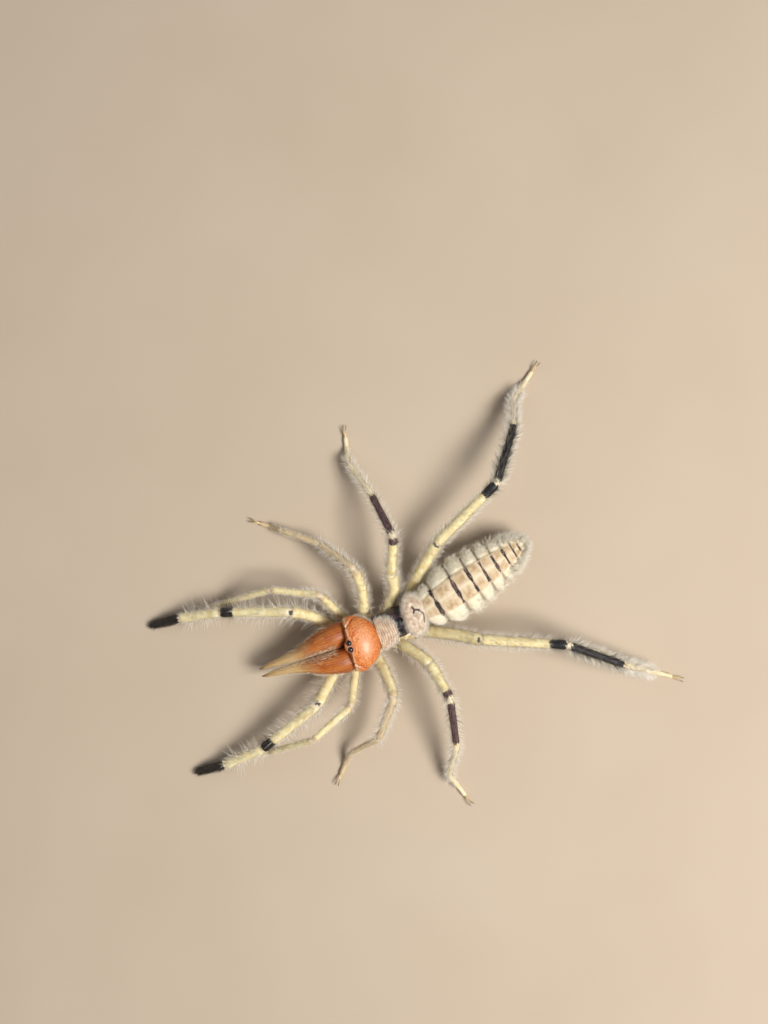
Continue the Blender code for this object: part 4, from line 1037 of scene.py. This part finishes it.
# A band has its mark and strength, and where it starts and ends (joint, and how far past it). Some have a
# softness of their ends other than EDGE, and heights in the section, from -1 below to 1 on top, between
# which they fade in.
BANDS = {
    "palp": (
        ("dark", 1, (2, -1.5), (2, -0.25), 0.3),
        ("dark", 1, (3, 0.1), (3, END), 0.3),
        ("dark", 0.6, (1, -0.3), (1, 0.1), EDGE, (0.6, 0.9)),
        ("pale", 0.7, (1, -0.3), (1, 0.35)),
    ),
    "leg_1": (
        ("tan", 1, (1, -0.5), (1, 0.4)),
        ("tan", 1, (2, -0.4), (2, 0.4)),
        ("tan", 0.6, (3, -0.4), (3, END)),
    ),
    "leg_2": (("tan", 0.9, (1, -0.6), (1, END)),),
    "leg_3": (
        ("dark", 1, (2, -0.7), (2, -0.15), 0.25, (-0.3, 0.5)),
        ("dark", 1, (2, 0.4), (3, -0.3), 0.5, BACK),
        ("pale", 1, (2, -0.08), (2, 0.3)),
        ("pale", 0.6, (3, 0.1), (3, END)),
    ),
    "leg_4": (
        ("dark", 1, (2, -1.65), (2, -0.1), 0.3, (-0.6, 0.1)),
        ("dark", 1, (2, 0.25), (3, 0.35), 0.35, BACK),
        ("dark", 0.6, (1, -0.3), (1, 0), EDGE, (0.4, 0.9)),
        ("pale", 1, (2, -0.08), (2, 0.25)),
        ("pale", 0.6, (3, 0.1), (3, END)),
    ),
}


def limb_path(limb, side):
    """The middle line of a limb from hip to tip. Straight lengths are joined by arcs round the joints.
    Returns the points, how far along each one is, and how far along the joints are."""
    joints = limb_joints(limb, side)
    _, _, turns, bow = LIMBS[limb][side]
    if limb in WALKING_LEGS:
        flat = flat_way(turns[-1])
        end = joints[-1] - flat * CLAW_LENGTH
        joints = [*joints[:-1], end - flat * SOLE_LENGTH, end]
    marks = np.cumsum([0, *[np.linalg.norm(b - a) for a, b in zip(joints, joints[1:])]])
    points, places = [joints[0] - unit(joints[1] - joints[0]) * 0.1], [-0.1]
    for k in range(len(joints) - 1):
        a, b, length = joints[k], joints[k + 1], marks[k + 1] - marks[k]
        way = (b - a) / length
        first = 0.0 if k == 0 else BEND_TRIM
        last = length if k == len(joints) - 2 else length - BEND_TRIM
        run = np.linspace(first, last, max(4, int((last - first) / STEP)))
        swing = unit(np.cross(way, UP)) * bow * -SIDES[side] * (k == 0)
        points.extend(a + way * run[:, None] + swing * np.sin(np.pi * run / length)[:, None])
        places.extend(marks[k] + run)
        if k < len(joints) - 2:
            onward = unit(joints[k + 2] - b)
            t = np.linspace(0, 1, 9)[1:-1, None]
            points.extend(arc(b - way * BEND_TRIM, b, b + onward * BEND_TRIM, t))
            places.extend(marks[k + 1] + BEND_TRIM * (2 * t[:, 0] - 1))
    return np.array(points), np.array(places), marks


def spot(along, start, end, edge):
    """1 between two distances along a limb and 0 elsewhere, with soft edges."""
    return smooth(along, start - edge, start + edge) * (1 - smooth(along, end - edge, end + edge))


def band(along, top, joints, strength, start, end, edge=EDGE, heights=ALL_ROUND):
    """How strong a band of the table is at each point of the skin, from 0 to its strength."""
    start, end = (joints[joint] + past for joint, past in (start, end))
    return spot(along, start, end, edge) * smooth(top, *heights) * strength


def limb_skin(limb, side):
    """A tube of rings: the radius runs from joint to joint, swells before each joint and is drawn in
    at it, and the tube is a little taller than wide. Marks say how far along, how high and how far to
    the side a point is, and where the limb is dark, pale and tan."""
    path, along, marks = limb_path(limb, side)
    joints = np.cumsum([0, *LIMBS[limb]["lengths"]])
    radius = np.interp(along, joints, LIMBS[limb]["radii"])
    for joint in joints[:-1]:
        off = along - joint
        radius = radius * (1 + 0.09 * hump(off + 0.55, 0.4) + 0.05 * hump(off - 0.5, 0.3))
        radius = radius * (1 - 0.2 * hump(off, 0.13))
    tip = np.clip((along[-1] - along) / 0.35, 0, 1) ** 0.5
    radius = np.maximum(radius * tip, 0.02)
    if limb in WALKING_LEGS:
        radius = np.minimum(radius, SOLE_RADIUS + 2 * np.clip(marks[-2] - along, 0, None))
    c, s = np.cos(circle(26)), np.sin(circle(26))
    skin = Skin(tube(path, radius * 0.96, radius, 26), along=along[:, None], top=s, flank=c)
    along, top = skin.marks["along"], skin.marks["top"]
    knees = 0.8 * sum(hump(along - joint, 0.14) for joint in joints[1:-1])
    grids = {"dark": 0 * along, "pale": knees, "tan": 0 * along}
    for mark, *span in BANDS[limb]:
        grids[mark] = grids[mark] + band(along, top, joints, *span)
    skin.marks.update({mark: np.clip(grid, 0, 1) for mark, grid in grids.items()})
    return skin


def limb_finish(limb, is_hair):
    """Straw yellow shell with clouds of ivory, darker tan painted shade on the underside, tan where it is
    worn, ivory at the knees, and the dark stripes and bands, broken by fine pale threads and ragged at their
    ends."""
    made = Finish(f"{limb}_hair" if is_hair else f"{limb}_shell", Roughness=0.5)
    cloud = made.noise(0.5, 4)
    threads = made.noise(0.16, 2).between(0.45, 0.7)
    is_dark = (made.mark("dark") + made.noise(0.2, 3) * 1.4 - 0.7).between(0.3, 0.65)
    base = made.layers(
        made.blend(cloud.between(0.3, 0.7), (234, 212, 152), (246, 234, 188)),
        # painted shade: the underside of each tube darkens to tan
        underside=(made.mark("top").between(0.3, -0.9) * 0.7, (198, 164, 112)),
        tan=(made.mark("tan"), made.blend(cloud, (196, 168, 126), (220, 198, 160))),
        knees=(made.mark("pale") * 0.85, made.blend(cloud, (222, 202, 172), (240, 228, 206))),
        bands=(is_dark, made.blend(threads, *BAND_COLOURS[limb])),
    )
    if is_hair:
        share = (0.7 + made.mark("tip") * 0.3) * (1 - made.mark("dark") * 0.85)
        whitened = made.blend(share, base, (252, 248, 240))
        if limb == "palp":
            whitened = made.blend(made.mark("along").between(17.2, 17.5), whitened, base)
        return made.feed(Base_Color=made.blend(made.mark("tone") * 0.15, whitened, (200, 184, 150)))
    grain = made.noise(0.07, 4)
    return made.feed(Base_Color=base, Roughness=0.4 + grain * 0.2, Normal=made.bump(grain, 0.025))


# For each limb: start and end along it, hairs to a square millimetre, their lengths, lifts and width.
BRISTLES = {
    "palp": (
        (0, 17.4, 50, (0.35, 0.75), (35, 65), 0.036),
        (0, 16.8, 17, (0.8, 2.1), (55, 85), 0.048),
        (17.4, 20.6, 90, (0.35, 0.7), (20, 45), 0.04),
    ),
    "leg_1": ((0, 17.8, 50, (0.25, 0.55), (30, 60), 0.034), (0, 6.5, 40, (0.5, 0.95), (45, 75), 0.042)),
    "leg_2": ((0, 15.5, 50, (0.25, 0.55), (30, 60), 0.034), (0, 9.9, 34, (0.6, 1.1), (45, 75), 0.044)),
    "leg_3": ((0, 19.0, 50, (0.25, 0.6), (30, 60), 0.034), (0, 17.8, 38, (0.6, 1.2), (45, 72), 0.044)),
    "leg_4": (
        (0, 27.2, 44, (0.3, 0.65), (30, 60), 0.036),
        (0, 15, 36, (0.6, 1.1), (45, 70), 0.044),
        (15, 26.0, 100, (0.75, 1.4), (40, 70), 0.046),
    ),
}
limb_looks = {limb: (limb_finish(limb, False), limb_finish(limb, True)) for limb in LIMBS}
for limb, side_name in LIMB_SIDES:
    shell, coat = limb_looks[limb]
    skin = limb_skin(limb, side_name)
    piece = merge(f"{limb}_{side_name}_shell", [skin], shell)
    parts = LENGTH_NAMES[-len(LIMBS[limb]["lengths"]):]
    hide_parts(*[f"{limb}_{side_name}_{part}" for part in parts])
    draw = np.random.default_rng(100 + 2 * list(LIMBS).index(limb) + (side_name == "left"))
    along, top, flank, dark = (skin.marks[mark] for mark in ("along", "top", "flank", "dark"))
    for kind, (start, end, density, lengths, lifts, width) in enumerate(BRISTLES[limb]):
        where = spot(along, start + 0.2, end, 0.2)
        if limb == "palp" and kind == 1:
            where = where * (0.25 + smooth(-top, -0.2, 0.6))
        if limb == "leg_4" and kind == 2:
            where = where * (0.35 + 0.65 * smooth(np.abs(flank), 0.4, 0.9))
        if limb != "palp" or kind < 2:
            where = where * (1 - 0.6 * dark * smooth(top, -0.3, 0.4))
        where = where * (1 - 0.6 * smooth(top, 0.3, 0.85) * (kind < 2))
        roots = skin.scatter(density * where, draw)
        grow(
            f"{limb}_{side_name}_hair_{kind}", "limb_straw", coat, skin, roots,
            skin.read(skin.along(), *roots), draw, spread=0.15, width=width,
            rings=2 if kind == 0 else 3, length=lengths, lift=lifts,
        )


# Claws
# Each walking foot ends in two thin curved claws of brown horn, dark at their points.
def claw_skin(limb, side, spread):
    """A horn on an arc: it rises from the foot, arches forward and comes down to its point."""
    turn = LIMBS[limb][side][2][-1]
    end = limb_joints(limb, side)[-1] - flat_way(turn) * CLAW_LENGTH
    t = np.linspace(0, 1, 22)
    height = 0.09 + 0.2 * np.sin(np.pi * t * 0.85) - 0.1 * t * t
    path = end - flat_way(turn) * 0.25 + flat_way(turn + spread) * (t * 1.3)[:, None] + UP * height[:, None]
    thick = 0.065 * (1 - t) ** 0.5 + 0.01
    return Skin(tube(path, thick, thick * 1.15, 14), along=t[:, None])


horn = Finish("claw_horn", Roughness=0.3, Coat_Weight=0.4)
horn.feed(Base_Color=horn.blend(horn.mark("along").between(0.35, 0.95), (214, 184, 132), (96, 58, 36)))
for limb, side_name in LIMB_SIDES:
    if limb in WALKING_LEGS:
        pair = [claw_skin(limb, side_name, spread) for spread in (-CLAW_SPREAD, CLAW_SPREAD)]
        claws = merge(f"{limb}_{side_name}_claws", pair, horn)


# Racquet organs
# Five small fans of soft white skin hang on stalks under each rear hip and trochanter, the largest
# outermost.
RACQUET_DROP = 0.3  # of the stalk's foot, from the middle of the hip to its underside
RACQUETS = ((-0.2, 0.6), (-0.08, 0.7), (0.06, 0.85), (0.17, 0.95), (0.28, 1.05))  # place, size


def racquet_skin(side_name, place, size):
    """A stalk that opens into a flat fan: the width grows smoothly from a third of the way down."""
    joints = limb_joints("leg_4", side_name)
    foot = joints[0] + (joints[1] - joints[0]) * place - UP * RACQUET_DROP
    t = np.linspace(0, 1, 20)
    path = foot + unit(-UP + 0.35 * rear.along) * (t * size)[:, None]
    wide = size * (0.07 + 0.36 * smooth(t, 0.35, 0.95)) * np.sqrt(np.clip(1.02 - t, 0, 1))
    across = unit(np.cross(joints[1] - joints[0], UP))
    return Skin(tube(path, wide, 0.045, 16, reference=across), along=t[:, None])


white = Finish("racquet_skin", Roughness=0.5)
white.feed(Base_Color=white.blend(white.mark("along"), (222, 196, 176), (246, 240, 230)))
for side_name in SIDES:
    fans = [racquet_skin(side_name, *racquet) for racquet in RACQUETS]
    organs = merge(f"racquet_organs_{side_name}", fans, white)


# Floor, light and camera
# A plain pale floor, a broad soft lamp from the tail side, a weak one opposite, and the camera straight
# above at the photo's distance.
FLOOR_HALF = 300.0
CAMERA_PLACE = np.array([-10.309, 3.712, 150.0])
IMAGE_RIGHT = np.array([0.4305, 0.9026, 0.0])
IMAGE_UP = np.array([-0.9026, 0.4305, 0.0])
VIEW_HEIGHT = 102.4  # of the floor, from the lower to the upper edge of the picture
SENSOR = 36.0


def stand(name, data, right, up, back, place):
    """Puts a lamp or a camera in the scene, with those axes, at that place."""
    made = bpy.data.objects.new(name, data)
    made.matrix_world = Matrix(np.vstack([np.column_stack([right, up, back, place * MM]), [0, 0, 0, 1]]))
    bpy.context.scene.collection.objects.link(made)
    return made


def lamp(name, right, up, height, size, power, colour):
    """A square soft lamp that faces the middle of the animal, placed by the picture's right and up."""
    light = bpy.data.lights.new(name, "AREA")
    light.size = size * MM
    light.energy = power
    light.color = colour
    place = IMAGE_RIGHT * right + IMAGE_UP * up + UP * height
    side = unit(np.cross(IMAGE_UP, place))
    stand(name, light, side, np.cross(unit(place), side), unit(place), place)


paper = Finish("floor_paper", Roughness=0.8)
paper.feed(Base_Color=paper.blend(paper.noise(18.0, 2), (190, 172, 150), (200, 184, 164)))
corners = np.array([[-1, -1, 0], [1, -1, 0], [1, 1, 0], [-1, 1, 0]]) * FLOOR_HALF
floor_mesh = bpy.data.meshes.new("floor")
floor_mesh.from_pydata(corners * MM, [], [(0, 1, 2, 3)])
floor_mesh.materials.append(paper.material)
floor = bpy.data.objects.new("floor", floor_mesh)
bpy.context.scene.collection.objects.link(floor)
lamp("key_lamp", 140, -40, 230, 110, 0.9, (1.0, 0.97, 0.92))
lamp("fill_lamp", -160, 90, 160, 160, 0.07, (0.92, 0.96, 1.0))
world = bpy.data.worlds.new("studio")
world.use_nodes = True
world.node_tree.nodes["Background"].inputs["Color"].default_value = (0.9, 0.93, 1.0, 1.0)
world.node_tree.nodes["Background"].inputs["Strength"].default_value = 0.17

lens = bpy.data.cameras.new("camera")
lens.sensor_width = SENSOR
lens.lens = SENSOR * CAMERA_PLACE[2] / VIEW_HEIGHT
lens.clip_start = 0.005
scene = bpy.context.scene
scene.world = world
scene.camera = stand("camera", lens, IMAGE_RIGHT, IMAGE_UP, UP, CAMERA_PLACE)
scene.view_settings.view_transform = "Standard"
